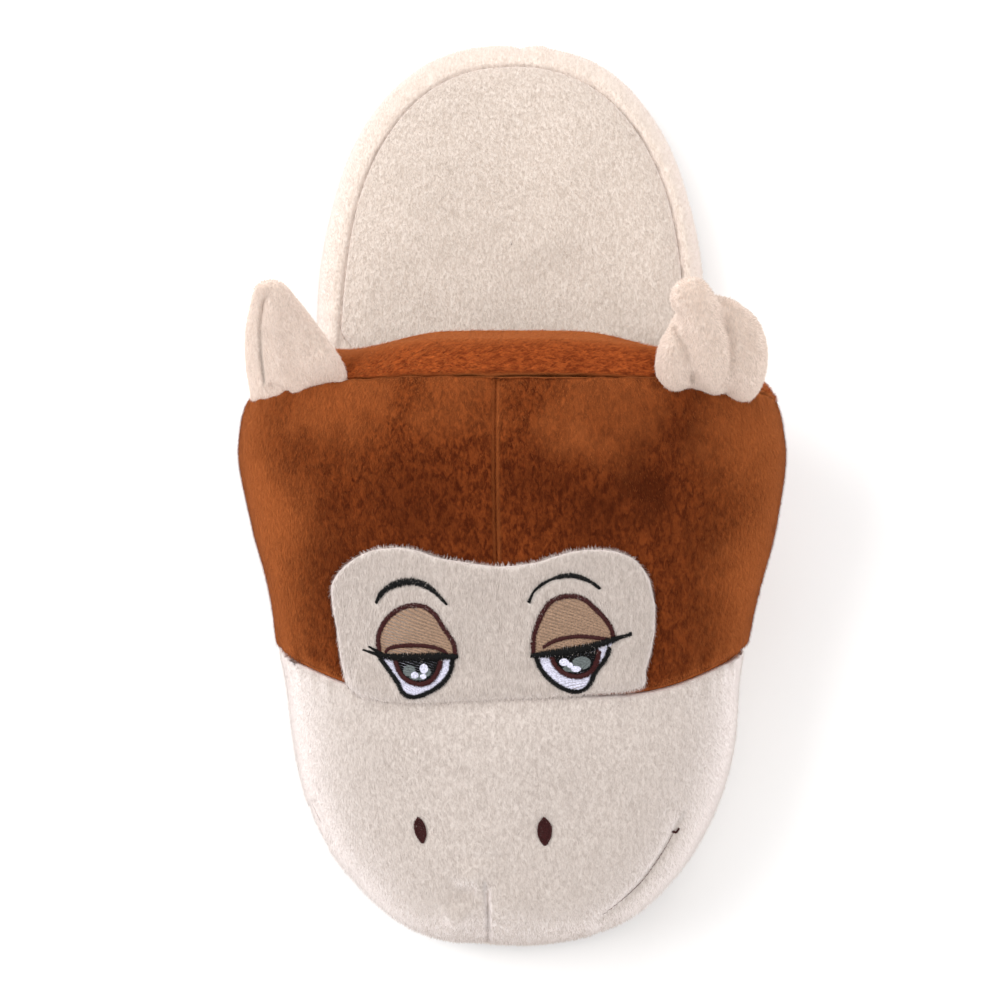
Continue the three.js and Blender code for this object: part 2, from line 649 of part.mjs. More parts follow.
// One roll of the curled ear: a long rounded form, placed from the middle of the ear's foot.
function rollSolid(row, side, foot) {
  const ball = new THREE.SphereGeometry(CURL_LENGTH, EAR_STEPS, CURL_STEPS);
  ball.scale(row.wide, row.long, row.deep);
  ball.rotateZ(radians(-side * row.tilt));
  ball.rotateX(radians(row.pitch));
  const step = new THREE.Vector3(side * row.side, row.back, row.up).multiplyScalar(CURL_LENGTH).add(foot);
  ball.translate(step.x, step.y, step.z);
  const loose = ball.toNonIndexed().getAttribute("position");
  const corner = (i) => new THREE.Vector3().fromBufferAttribute(loose, i);
  const faces = [];
  for (let i = 0; i < loose.count; i += 3) faces.push([corner(i), corner(i + 1), corner(i + 2)]);
  return solidOf(geometryOf(faces));
}

// The curled ear: its rolls joined, and its foot cut to the head.
function curledEarGeometry(side) {
  const rolls = CURL_ROLLS.map((row) => rollSolid(row, side, earFoot(side)));
  const joined = rolls.reduce((sum, roll) => sum.add(roll));
  return geometryFromSolid(joined.subtract(earSeat()));
}

const FINISHES = {
  cream: { color: 0xf2e0d3, roughness: 0.95, metalness: 0 },
  brown: { color: 0x8a3f14, roughness: 0.95, metalness: 0 },
  sole: { color: 0x4a4846, roughness: 0.9, metalness: 0 },
};

const slipper = new THREE.Group();

function addPiece(name, geometry, finish) {
  const mesh = new THREE.Mesh(geometry, new THREE.MeshStandardMaterial(FINISHES[finish]));
  mesh.name = name;
  slipper.add(mesh);
}

addPiece("outsole", outsoleGeometry(), "sole");
addPiece("midsole", midsoleGeometry(), "cream");
addPiece("insole", insoleGeometry(), "cream");
addPiece("upper", upperGeometry(), "brown");
addPiece("muzzle_panel", muzzlePanelGeometry(), "cream");
addPiece("face_patch", facePatchGeometry(), "cream");
addPiece("collar_band", collarBandGeometry(), "brown");
addPiece("ear_upright", uprightEarGeometry(-1), "cream");
addPiece("ear_curled", curledEarGeometry(1), "cream");

export default slipper;
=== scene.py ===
"""Looks of an animal slipper: plush skins, lining, padded footbed and embroidery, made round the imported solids."""

import math

import bmesh
import bpy
import numpy as np
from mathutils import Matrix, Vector
from mathutils.bvhtree import BVHTree


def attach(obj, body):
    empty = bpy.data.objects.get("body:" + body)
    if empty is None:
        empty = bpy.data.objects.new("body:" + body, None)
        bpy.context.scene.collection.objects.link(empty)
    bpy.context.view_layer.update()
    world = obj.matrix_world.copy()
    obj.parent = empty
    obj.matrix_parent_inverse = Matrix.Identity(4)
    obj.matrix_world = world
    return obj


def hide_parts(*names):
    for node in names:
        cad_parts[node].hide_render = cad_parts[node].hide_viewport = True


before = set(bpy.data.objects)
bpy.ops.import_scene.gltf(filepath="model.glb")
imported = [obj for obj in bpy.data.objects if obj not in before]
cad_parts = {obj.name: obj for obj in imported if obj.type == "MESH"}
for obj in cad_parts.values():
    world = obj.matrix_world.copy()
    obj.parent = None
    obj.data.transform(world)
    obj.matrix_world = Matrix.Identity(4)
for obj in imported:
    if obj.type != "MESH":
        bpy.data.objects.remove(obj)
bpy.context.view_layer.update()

bl_info = {
    "name": "Animal Slipper",
    "version": (1, 0, 0),
    "blender": (4, 5, 0),
    "location": "3D View > Sidebar > Slipper",
    "description": "Makes the plush skins, stuffing, footbed and embroidery of an animal slipper",
    "category": "Add Mesh",
}

MM = 0.001  # the slipper's sizes below are in millimetres, Blender's meshes in metres

# Sole
SOLE_LENGTH = 275
BALL_WIDTH = 128
HEEL_WIDTH = 119
TOE_REACH = 77.5
HEEL_REACH = 97.5
TOE_POWER = 2.32
HEEL_POWER = 2.42
OUTSOLE_THICKNESS = 2.5
OUTSOLE_UNDERCUT = 1.6
OUTSOLE_TOE_TUCK = 2.4
DOT_HEIGHT = 0.5
MIDSOLE_THICKNESS = 19.2
BAND_SETBACK = 0.5
BAND_ROUND = 5
BAND_TUCK = 2
BAND_LEVEL = 0.42
BAND_TOE_TUCK = 0.6
HEEL_JOIN = 2.4  # where the band's ends are sewn together, at the back
INSOLE_THICKNESS = 5.2
INSOLE_EASE = 1
INSOLE_MARGIN = 7.2
INSOLE_TURN = 8
# The footbed's edge from its seam up: how far inside its outline, how high
FOOTBED_EDGE = ((0.1, 0.0), (-0.05, 0.3), (0, 0.6), (0.25, 0.95), (0.9, 1.25), (2, 1.65), (3.6, 2.2), (5.6, 2.8),
                (7.8, 3.2))
HEEL_SEAM_SIDE = 1.2
HEEL_SEAM_BACK = 2.2
TOE_SPRING = 3
TOE_SPRING_LENGTH = 43
CLEARANCE = 0.3
SEAM_GAP = 0.03  # between the sewn edges of crown and collar

# Head
HEAD_LENGTH = 151.5
NOSE_SETBACK = 1.5
SEAT_INSET = 5.5
LINING_INSET = 10.5
INSTEP_HEIGHT = 65
CROWN_WALL = 10.5
CHEEK_BULGE = 13.6
MUZZLE_OVERHANG = 0.4
MUZZLE_TOE_SWELL = 1.3
DART_SIDE = -6.9
LINING_LEVEL = 0.37
LINING_SPREAD = 2.4
HEAD_POWER = 2.3
NOSE_POWER = 2.2
COLLAR_DEPTH = 14.2
COLLAR_FLARE = 7.9
FLARE_POWER = 1.4
COLLAR_PUFF = 2.4
LIP_THICKNESS = 5
LIP_DROP = 3.2
PANEL_THICKNESS = 1.7
PANEL_STEP = 1
PATCH_TOP = 2.2
FACE_SHIFT = -5
EAR_SPREAD = 56
EAR_LENGTH = 43
EAR_WIDTH = 35
EAR_THICKNESS = 13
EAR_SLANT = 30
EAR_CUP = 0.25
UPRIGHT_CORNER = (2, 3.5)  # how far its foot's inner corner is pulled in and back
CURL_LENGTH = 40

TOE_TIP = -SOLE_LENGTH / 2
HEEL_TIP = SOLE_LENGTH / 2
BALL_LINE = TOE_TIP + TOE_REACH
HEEL_LINE = HEEL_TIP - HEEL_REACH
SPRING_LINE = TOE_TIP + TOE_SPRING_LENGTH
NOSE_TIP = TOE_TIP + NOSE_SETBACK
COLLAR_SEAM = NOSE_TIP + HEAD_LENGTH
MIDSOLE_FLOOR = OUTSOLE_THICKNESS + CLEARANCE
MIDSOLE_TOP = MIDSOLE_FLOOR + MIDSOLE_THICKNESS
SEAT = MIDSOLE_TOP + CLEARANCE
CROWN_HEIGHT = INSTEP_HEIGHT + CROWN_WALL
HEAD_HALF_WIDTH = BALL_WIDTH / 2 + MUZZLE_OVERHANG
BALL_ROW = 0.5
SIDE_SHARE = 1 / 3  # of a section's climb lies below its widest line

# Sections of the head from the collar seam (0) to the nose (1): cheeks, crown, level of the widest line.
SECTIONS = np.array((
    (0.0, 0.84, 1.0, 0.445), (0.1, 1.0, 1.006, 0.445), (0.22, 0.78, 0.965, 0.44),
    (0.33, 0.48, 0.89, 0.44), (0.45, 0.16, 0.81, 0.435), (0.54, 0.0, 0.765, 0.42),
    (0.66, 0.0, 0.735, 0.375), (0.8, 0.0, 0.69, 0.34), (1.0, 0.0, 0.663, 0.313),
))
# The seam between crown and muzzle: share of the way round, and how far behind the nose.
MUZZLE_SEAM = np.array(((0.0, 0.61), (0.14, 0.56), (0.26, 0.505), (0.38, 0.447), (0.5, 0.435)))
# The upright ear from foot to tip: lean, out, rise, width, thickness, turn.
EAR_SECTIONS = np.array((
    (0.0, -0.08, -0.01, -0.14, 1.04, 0.9, 42), (0.28, 0.12, 0.02, 0.16, 0.9, 1.0, 34),
    (0.54, 0.26, 0.06, 0.42, 0.64, 0.9, 22), (0.8, 0.36, 0.08, 0.68, 0.4, 0.7, 12),
    (0.95, 0.42, 0.09, 0.86, 0.26, 0.5, 8), (1.0, 0.44, 0.09, 0.91, 0.16, 0.3, 8),
))
# The curled ear's rolls: side, back, up, half width, half depth, half length, pitch, tilt.
CURL_ROLLS = (
    (0.03, 0.24, 0.29, 0.18, 0.18, 0.5, 50, -12),
    (0.27, 0.17, 0.03, 0.22, 0.19, 0.43, 52, -6),
    (-0.16, 0.1, 0.17, 0.14, 0.15, 0.33, 52, 5),
    (0.1, 0.22, 0.12, 0.33, 0.19, 0.42, 52, 0),
    (-0.07, 0.45, 0.53, 0.15, 0.14, 0.15, 50, 0),
    (-0.03, 0.13, 0.09, 0.16, 0.15, 0.33, 52, 0),
)

# Lines sewn on the head, seen from above
CROWN_SEAM = ((-4.6, 15), (-4.8, 2.5), (-4.8, -11), (-4.6, -24), (-4.3, -36))
TOE_DART = ((-7.9, -121), (-7.1, -127), (-6.8, -130), (-6.8, -133.5))
PATCH_EDGE = (
    (-45.9, -67.4), (-46.8, -64), (-48.5, -51.3), (-49.8, -43.6), (-49.4, -39.4), (-46.2, -35.6),
    (-40.4, -32.3), (-33.2, -31.2), (-26.9, -31.9), (-20.9, -33.9), (-14.9, -35), (-3.8, -36.4),
    (5.2, -35.6), (11.2, -34), (17.5, -32.3), (26.5, -32.1), (32.7, -33.9), (36.5, -37.7),
    (38.4, -43), (39.1, -48.9), (38.5, -56.1), (36.9, -63.1), (36.3, -67.9),
    (20.7, -70.2), (8.3, -71.4), (-3.8, -71.9), (-16.1, -72.5), (-28.5, -72.9), (-40.8, -70.9),
)
LEFT_EYE = {
    "brow": ((-37.3, -45.7), (-36.2, -43.7), (-33.9, -41.8), (-31.3, -40.8), (-28.2, -40.4), (-25.5, -40.8),
             (-23.3, -41.8), (-21.1, -43.4), (-18, -46.6)),
    "brow_width": (0.7, 1.5, 2.1, 2.3, 2.3, 2, 1.5, 0.9, 0.6),
    "lid": ((-36.5, -58.8), (-36.8, -54.9), (-35.4, -51.4), (-33.1, -48.9), (-30, -47.2), (-26.9, -46.7),
            (-23.8, -47.3), (-21.1, -49.4), (-19.4, -52), (-17.4, -54.9), (-16.1, -57.1), (-15.6, -60.1)),
    "crease": ((-34.8, -58.9), (-34, -58), (-31.4, -57.4), (-26.9, -57.3), (-22.5, -57.7), (-19.4, -58.6),
               (-18, -59.6)),
    "lash": ((-36.7, -59.6), (-32.3, -60.2), (-27.8, -60.4), (-23.4, -60.4), (-18.9, -60.3), (-15, -60.5)),
    "lash_width": (1.6, 2.2, 2.6, 2.6, 2.2, 1.2),
    "wings": (((-40.9, -58), (-36.4, -59.6)), ((-39.3, -57.2), (-36, -59.2))),
    "white": ((-36.3, -60.5), (-35.1, -62), (-33.6, -64.1), (-32.3, -65.9), (-31.2, -67.6), (-30.7, -68.9),
              (-29.7, -70.2), (-27.9, -70.9), (-25.6, -70.8), (-23.6, -70.1), (-21.4, -69.1), (-19.4, -67.7),
              (-17.9, -66), (-16.9, -64), (-16.5, -61.8), (-16.1, -60.5)),
    "iris": ((-32.1, -60.9), (-31.4, -63.3), (-30, -65.5), (-27.8, -67.1), (-25.1, -67.7), (-22.5, -66.9),
             (-20.7, -64.8), (-19.8, -62.4), (-19.6, -60.9)),
    # The last two are ovals of grey and white thread painted in as reflections on the iris: centre, half width, half
    # height
    "painted_grey_glint": (((-28.2, -64), 1.7, 1.5), ((-26, -65.6), 2.2, 1), ((-23.6, -64.4), 1.3, 1.2)),
    "glint": (((-24.2, -63.5), 1.1, 1.3), ((-26.7, -65.2), 1, 0.9), ((-24.4, -65.6), 0.8, 0.7)),
}
RIGHT_EYE = {
    "brow": ((4.4, -46.1), (5.6, -43.5), (7.1, -42), (9.3, -40.6), (12.4, -39.4), (16.3, -39), (19.4, -39.8),
             (21.6, -40.8), (23.7, -42.3)),
    "brow_width": (0.9, 0.5, 0.9, 0.6, 1.3, 1.5, 1.3, 1, 0.7),
    "lid": ((5.6, -59.7), (5.7, -55.4), (6.7, -52), (8.3, -48.6), (10.2, -46.1), (12.8, -44.8), (16.3, -44.4),
            (19.4, -45.2), (22.2, -47.4), (24.9, -50), (26.8, -52.6), (27.5, -55)),
    "crease": ((8.3, -58), (11.1, -56.4), (14.6, -55.4), (18.6, -55), (22.6, -55.3), (26.1, -55.6)),
    "lash": ((5, -60.2), (10.2, -59.6), (15.5, -58.9), (20.8, -57.8), (26.1, -56.2), (28.8, -55.3)),
    "lash_width": (1.2, 2.2, 2.6, 2.5, 2.1, 1.4),
    "wings": (((28, -55.8), (32.4, -54)), ((27.4, -55.2), (31.2, -54.6))),
    "white": ((6.5, -60.6), (7.1, -62.7), (8.2, -64.5), (9.9, -66.4), (12, -67.9), (14.2, -69), (16.4, -69.5),
              (18.6, -69.3), (20.4, -68.4), (21.5, -66.9), (22.2, -65.2), (23.3, -63.5), (24.8, -61.7), (26, -59.5),
              (26.4, -57.8)),
    "iris": ((10.6, -60.6), (11.5, -62.7), (13.3, -64.4), (15.5, -65.5), (18.2, -65.7), (20.8, -64.8),
             (22.4, -62.9), (23.3, -60.4), (23.5, -58.7)),
    # The last two are ovals of grey and white thread painted in as reflections on the iris: centre, half width, half
    # height
    "painted_grey_glint": (((18.8, -62), 2.5, 1.7), ((15.6, -63.6), 1.8, 0.9)),
    "glint": (((14, -61.9), 1.3, 1), ((17.2, -63.7), 1.3, 0.8), ((15.6, -62.7), 0.8, 0.7)),
}
# Places where the brown nap is brushed the other way, their darkness painted in as shade: centre, radius, how dark
NAP_SHADE_PATCHES = (
    ((37, -18, 95), 13, 0.6), ((49, 1, 90), 9, 0.3), ((-57, 2, 84), 9, 0.25), ((-25, -20, 97), 22, 0.35),
    ((8, -16, 99), 18, 0.35), ((26, -26, 97), 16, 0.3), ((-52, -38, 86), 14, 0.3), ((56, -30, 85), 12, 0.25),
)
# Places where the brown plush is painted paler, as painted sheen highlights: centre, radius, how much paler
NAP_SHEEN_PATCHES = (
    ((-48, 12, 92), 24, 0.5), ((-16, 11, 99), 22, 0.3), ((26, 9, 99), 24, 0.35), ((62, 0, 84), 20, 0.4),
    ((-66, -20, 74), 20, 0.35), ((14, -2, 100), 12, 0.3), ((66, -36, 72), 18, 0.3),
)
NOSTRILS = (
    ((-26, -103.2), (-26.9, -105), (-26.5, -107.6), (-24.8, -109.9), (-24, -108), (-24.5, -105)),
    ((8.6, -103.3), (7.3, -105.2), (7.2, -108), (8.9, -110.6), (10.3, -108.6), (10.4, -105.4)),
)
SMILES = (
    ((47.9, -101.2), (45.9, -105.1), (45.1, -106.7), (42.6, -111.1), (39.5, -115.8), (36.2, -120.1),
     (31.2, -124.8), (25.9, -128.9), (20.6, -132.4)),
    ((-57.2, -96.6), (-56.4, -98.6), (-54.5, -102.6), (-52.6, -107.2), (-50.9, -110.6)),
)
EYES = (LEFT_EYE, RIGHT_EYE)
UPRIGHT_SEAM = ((-65.6, 31.6, 120.5), (-67.1, 30.2, 116.4), (-68.6, 26.5, 106.5), (-69.2, 21.3, 94), (-69, 15.6, 82))
CURL_FOLD = ((43, 28.4, 105), (45.3, 23.6, 105.6), (47.3, 20.1, 102.6), (48.6, 17, 98), (49, 14, 93))

# Soft folds of each piece: path, width, depth and, where it isn't a fifth, the share that fades at both ends.
# Its hollows: centre, radius, depth. A negative depth stands out.
FOOTBED_FOLDS = (
    (((-38, 118), (-45, 95), (-48, 70)), 5, 0.6), (((-30, 62), (-12, 66), (8, 60), (30, 64)), 6, 0.6),
    (((-42, 108), (-30, 98), (-14, 95)), 4, -0.4), (((-6, 62), (14, 72), (34, 74)), 3.5, -0.4),
)
FOOTBED_HOLLOWS = (((0, 88), 26, 0.7), ((-18, 48), 9, 0.5), ((24, 40), 8, -0.4))
CROWN_FOLDS = (
    (CROWN_SEAM, 0.7, 1.3, 0.02), (CROWN_SEAM, 5, 0.5, 0.02),
    ([(x + 1.9, y) for x, y in CROWN_SEAM], 1.2, -0.25, 0.02),
    (((44, 4), (36, -10), (34, -22)), 6, 0.8), (((-52, 2), (-42, -12), (-40, -24)), 7, 0.7),
    (((18, -6), (30, -16), (42, -20)), 5, -0.5),
)
CROWN_HOLLOWS = (((-25, -14), 13, -0.6), ((14, -12), 12, -0.6))
MUZZLE_FOLDS = (
    (((-18, -121.5), (-13.8, -122.6), (-9.5, -123.4)), 1.4, 0.5),
    (((-17, -127), (-12, -128.5), (-8.5, -131)), 1.8, 0.4), (((-16.5, -114), (-8.5, -114.4), (0, -114)), 1.1, 0.3),
    *((path, 1.0, 0.55, 0.1) for path in SMILES), *((path, 4.5, 0.4, 0.1) for path in SMILES),
)
MUZZLE_HOLLOWS = (
    ((-13, -124.5), 3.2, 1.8), ((-15, -129), 3.5, -1.8), ((-12, -119.5), 4, -1.3), ((-11.5, -133), 3, 0.8),
    ((0, -127), 6, -0.4), *((np.mean(ring, axis=0), 4, 0.55) for ring in NOSTRILS),
)
PATCH_FOLDS = (
    (((FACE_SHIFT, -38), (FACE_SHIFT + 0.5, -55), (FACE_SHIFT, -70)), 7, 0.4),
    *((eye["white"], 3.5, 0.25, 0.1) for eye in EYES),
)
PATCH_HOLLOWS = tuple((np.mean(eye["lid"], axis=0), 9, -0.5) for eye in EYES)
COLLAR_FOLDS = (
    (((-46, 27), (-20, 29.5), (0, 29), (24, 29.5), (48, 26)), 2.2, 0.35),
    (((-30, 20), (-6, 22), (20, 20.5)), 2.5, -0.3),
)
UPRIGHT_FOLDS = (
    (UPRIGHT_SEAM, 0.6, 1.1, 0.05), (UPRIGHT_SEAM, 2.6, 0.4, 0.05),
    (((-63.5, 33, 121), (-64, 27, 107), (-64, 16, 86)), 2.2, -0.5),
    (((-68.5, 15.2, 84), (-65.2, 13.6, 84), (-61, 12.4, 84)), 1.6, 0.8),
    (((-57.5, 29.5, 113.5), (-51.3, 21.1, 102), (-47.8, 17.7, 90)), 1.4, -0.3),
    (((-62, 24, 108), (-59, 18, 98), (-57, 14, 90)), 3.5, 0.5),
)
CURL_FOLDS = (
    (((53, 31.5, 115), (56, 30, 112), (58.9, 25.2, 104.9), (59.2, 19.9, 100.2), (57.6, 13.4, 93.8), (55.6, 11.8, 91)),
     1.5, 0.9, 0.1),
    (CURL_FOLD, 1.3, 1.4, 0.1), (((40, 25, 98), (43.5, 22.5, 100.5), (45.6, 18, 98)), 1.3, -0.4),
)

# Cloth that is blown up to fill a cushion, and for how many frames
CLOTH = {
    "quality": 6, "mass": 0.2, "tension_stiffness": 12, "compression_stiffness": 12, "bending_stiffness": 0.4,
    "use_pressure": True,
}
CLOTH_FRAMES = 20

# Stage, in metres and watts: each lamp's name, place, size and power
SENSOR_WIDTH, LENS = 36, 106.33
CAMERA_ELEVATION = math.radians(80)
CAMERA_DISTANCE = 0.9
CAMERA_AIM = (-0.003478, -0.002344)
FLOOR_REACH = 3
WORLD_COLOUR, WORLD_STRENGTH = (1, 0.99, 0.985, 1), 0.685
LAMPS = (
    ("key", (-0.85, 0.15, 1.0), 1.0, 13.0), ("fill", (0.9, -0.3, 0.9), 1.1, 6.5), ("back", (0.1, 1.1, 0.9), 1.0, 5.0),
)


def smooth(a):
    """Rises gently from 0 to 1 as a does, and stays there."""
    a = np.clip(a, 0, 1)
    return a * a * (3 - 2 * a)


def bell(far, width):
    """A rounded hump, 1 at no distance and almost nothing at twice its width."""
    return np.exp(-((far / width) ** 2))


def closing(a, power):
    """How wide a rounded end still is at share a of its length."""
    return np.maximum(0, 1 - np.clip(a, 0, 1) ** power) ** (1 / power)


def lift(y):
    """Height that the toe spring adds at y."""
    a = np.clip((SPRING_LINE - y) / (SPRING_LINE - TOE_TIP), 0, 1)
    return TOE_SPRING * a * a


def placed(x, y, z):
    """Points whose heights follow the toe spring."""
    x, y, z = np.broadcast_arrays(x, y, z)
    return np.stack([x, y, z + lift(y)], -1)


def through(table, column, at):
    """A table's column on a smooth curve through its rows, read at places of its first column."""
    x, v = table[:, 0], table[:, column]
    slope = np.empty_like(v)
    slope[1:-1] = (v[2:] - v[:-2]) / (x[2:] - x[:-2])
    slope[0], slope[-1] = (v[1] - v[0]) / (x[1] - x[0]), (v[-1] - v[-2]) / (x[-1] - x[-2])
    i = np.clip(np.searchsorted(x, at, side="right") - 1, 0, len(x) - 2)
    span = x[i + 1] - x[i]
    u = np.clip((at - x[i]) / span, 0, 1)
    risen = 3 * u**2 - 2 * u**3
    return (
        (1 - risen) * v[i] + (u**3 - 2 * u**2 + u) * span * slope[i]
        + risen * v[i + 1] + (u**3 - u**2) * span * slope[i + 1]
    )


def resampled(path, step, closed=False):
    """Points a step apart on a smooth curve through a path's points."""
    rows = np.array(path, float)
    if closed:
        rows = np.vstack([rows, rows[:1]])
    walked = np.concatenate([[0], np.cumsum(np.linalg.norm(np.diff(rows, axis=0), axis=1))])
    if closed:
        rows = np.vstack([rows[-2], rows, rows[1]])
        walked = np.concatenate([[-(walked[-1] - walked[-2])], walked, [walked[-1] + walked[1]]])
    table = np.column_stack([walked, rows])
    last = walked[-2] if closed else walked[-1]
    count = max(2, int(round(last / step)) + 1)
    at = np.linspace(0, last, count)[: -1 if closed else None]
    return np.column_stack([through(table, c + 1, at) for c in range(rows.shape[1])])


# The sole's outline


def outline_point(v, inset):
    """The +X half of the sole's outline. v runs from toe tip (0) by the ball (1) and heel line (2) to heel (3)."""
    ball, heel = BALL_WIDTH / 2 - inset, HEEL_WIDTH / 2 - inset
    toe = np.clip(v, 0, 1) * math.pi / 2
    back = np.clip(v - 2, 0, 1) * math.pi / 2
    x = np.where(v <= 1, ball * np.sin(toe) ** (2 / TOE_POWER), ball + (heel - ball) * smooth(v - 1))
    x = np.where(v <= 2, x, heel * np.maximum(np.cos(back), 0) ** (2 / HEEL_POWER))
    y = np.where(
        v <= 1,
        BALL_LINE - (TOE_REACH - inset) * np.maximum(np.cos(toe), 0) ** (2 / TOE_POWER),
        BALL_LINE + (HEEL_LINE - BALL_LINE) * (v - 1),
    )
    return x, np.where(v <= 2, y, HEEL_LINE + (HEEL_REACH - inset) * np.sin(back) ** (2 / HEEL_POWER))


def sole_half_width(y, inset):
    """Half the sole's breadth at y, along an outline that lies inset inside its own."""
    ball, heel = BALL_WIDTH / 2 - inset, HEEL_WIDTH / 2 - inset
    middle = ball + (heel - ball) * smooth((y - BALL_LINE) / (HEEL_LINE - BALL_LINE))
    toe = ball * closing((BALL_LINE - y) / (TOE_REACH - inset), TOE_POWER)
    back = heel * closing((y - HEEL_LINE) / (HEEL_REACH - inset), HEEL_POWER)
    return np.where(y < BALL_LINE, toe, np.where(y > HEEL_LINE, back, middle))


def even_places(count):
    """Places on half the sole's outline that lie equally far apart."""
    fine = np.linspace(0, 3, 3001)
    x, y = outline_point(fine, 0)
    walked = np.concatenate([[0], np.cumsum(np.hypot(np.diff(x), np.diff(y)))])
    return np.interp(np.linspace(0, walked[-1], count + 1), walked, fine)


def sole_ring(places, inset, height, share=1.0):
    """A ring round the sole from the toe's tip by the +X side, shrunk towards its spine by a share."""
    if callable(inset):
        inset = inset(outline_point(places, 0)[1])
    x, y = outline_point(places, inset)
    spine = np.clip(y, TOE_TIP + 0.7 * TOE_REACH, HEEL_TIP - 0.7 * HEEL_REACH)
    half = np.column_stack([x * share, spine + (y - spine) * share])
    other = half[1:-1][::-1] * (-1, 1)
    ring = np.vstack([half, other])
    return placed(ring[:, 0], ring[:, 1], height)


def heel_seam(ring, inset):
    """The seam between band and footbed lies a little further in round the back and left of the heel."""
    share = smooth((inset - 1) / 4)
    x, y = ring[:, 0].copy(), ring[:, 1].copy()
    ring[:, 0] += share * HEEL_SEAM_SIDE * smooth(-x / 25) * smooth((y - 15) / 60)
    ring[:, 1] -= share * HEEL_SEAM_BACK * smooth((y - 80) / 35)
    return ring


# The head's surfaces


def row_angle(s):
    return np.clip((s - BALL_ROW) / (1 - BALL_ROW), 0, 1) * math.pi / 2


def row_at(y):
    share = np.clip((BALL_LINE - y) / (BALL_LINE - NOSE_TIP), 0, 1)
    front = BALL_ROW + (1 - BALL_ROW) * (2 / math.pi) * np.arcsin(share ** (TOE_POWER / 2))
    return np.where(y >= BALL_LINE, BALL_ROW * (COLLAR_SEAM - y) / (COLLAR_SEAM - BALL_LINE), front)


def row_y(s, reach):
    back = COLLAR_SEAM + (BALL_LINE - COLLAR_SEAM) * s / BALL_ROW
    return np.where(s <= BALL_ROW, back, BALL_LINE - reach * np.sin(row_angle(s)) ** (2 / TOE_POWER))


def row_width(s):
    return np.where(s >= 1, 0.0, np.maximum(np.cos(row_angle(s)), 0) ** (2 / TOE_POWER))


def arch(t, foot, wide, level, rise, floor):
    """A point of an arched section, and the share of its side that is climbed."""
    side = np.where(t < 0.5, -1.0, 1.0)
    climbed = 1 - np.abs(2 * t - 1)
    low = np.clip(climbed / SIDE_SHARE, 0, 1) * math.pi / 2
    share = np.sin(low)
    high = np.clip((climbed - SIDE_SHARE) / (1 - SIDE_SHARE), 0, 1) * math.pi / 2
    across = np.maximum(np.cos(high), 0) ** (2 / HEAD_POWER)
    below = climbed < SIDE_SHARE
    x = side * np.where(below, foot + (wide - foot) * share, wide * np.where(climbed >= 1 - 1e-12, 0, across))
    z = np.where(below, floor + (level - floor) * (1 - np.cos(low)), level + rise * np.sin(high) ** (2 / HEAD_POWER))
    return x, z, np.where(below, share, 1.0)


def section(y):
    """The head at y: how far its cheeks bulge, how high its crown and its widest line lie over the seat."""
    at = (COLLAR_SEAM - y) / HEAD_LENGTH
    crown = CROWN_HEIGHT * through(SECTIONS, 2, at)
    return CHEEK_BULGE * through(SECTIONS, 1, at), crown, crown * through(SECTIONS, 3, at)


def head_point(s, t, depth=0.0):
    """The head's own surface, or one that lies depth inside it."""
    s, t = np.broadcast_arrays(s, t)
    reach = BALL_LINE - NOSE_TIP - depth
    y = row_y(s, reach)
    bulge, crown, level = section(y)
    inset = SEAT_INSET + depth
    foot = np.where(s <= BALL_ROW, sole_half_width(y, inset), (BALL_WIDTH / 2 - inset) * row_width(s))
    wide = (HEAD_HALF_WIDTH + bulge - depth) * row_width(s)
    rise = (crown - level - depth) * closing((BALL_LINE - y) / reach, NOSE_POWER)
    x, z, share = arch(t, foot, wide, SEAT + level, rise, SEAT)
    foot_y = row_y(s, TOE_REACH - inset)
    return placed(x, foot_y + (y - foot_y) * share, z)


def lining_point(s, t):
    """The foot's own room inside the head."""
    s, t = np.broadcast_arrays(s, t)
    reach = TOE_REACH - LINING_INSET
    y = row_y(s, reach)
    crown = section(y)[1] - CROWN_WALL
    level = LINING_LEVEL * crown
    foot = np.where(s <= BALL_ROW, sole_half_width(y, LINING_INSET), (BALL_WIDTH / 2 - LINING_INSET) * row_width(s))
    wide = foot + LINING_SPREAD * (1 - smooth(s / BALL_ROW))
    rise = (crown - level) * closing((BALL_LINE - y) / reach, NOSE_POWER)
    x, z, _ = arch(t, foot, wide, SEAT + level, rise, SEAT)
    return placed(x, y, z)


def columns(*fine):
    """Places round an arch, denser between the given pairs where a seam runs."""
    parts = [np.linspace(0, 1, 241)] + [np.linspace(low, high, count) for low, high, count in fine]
    return np.unique(np.round(np.concatenate(parts), 6))


def muzzle_seam_y(t):
    return NOSE_TIP + HEAD_LENGTH * through(MUZZLE_SEAM, 1, 0.5 - np.abs(t - 0.5))


def muzzle_seam_path():
    t = np.linspace(0, 1, 81)
    return head_point(row_at(muzzle_seam_y(t)), t)


def crown_point(x, y, offset):
    """A point over the crown at x and y, lifted off the head along its own slope."""
    bulge, crown, level = section(y)
    past = (BALL_LINE - y) / (BALL_LINE - NOSE_TIP)
    wide = (HEAD_HALF_WIDTH + bulge) * closing(past, TOE_POWER)
    rise = (crown - level) * closing(past, NOSE_POWER)
    across = np.abs(x) / wide
    height = closing(across, HEAD_POWER)
    normal = np.stack([
        np.sign(x) * across ** (HEAD_POWER - 1) / wide, np.zeros_like(x), height ** (HEAD_POWER - 1) / rise,
    ], -1)
    normal /= np.linalg.norm(normal, axis=-1, keepdims=True)
    return placed(x, y, SEAT + level + rise * height) + normal * np.asarray(offset)[..., None]


# Meshes


def grid_faces(first, rows, columns, closed=False, flip=False):
    """Quads over vertices that are numbered row by row."""
    a = np.arange(rows - 1)[:, None] * columns + np.arange(columns if closed else columns - 1)[None, :]
    k = np.arange(1, columns + 1) % columns if closed else np.arange(1, columns)
    b = np.arange(rows - 1)[:, None] * columns + k[None, :]
    quads = np.stack([a, b, b + columns, a + columns], -1).reshape(-1, 4) + first
    return quads[:, ::-1] if flip else quads


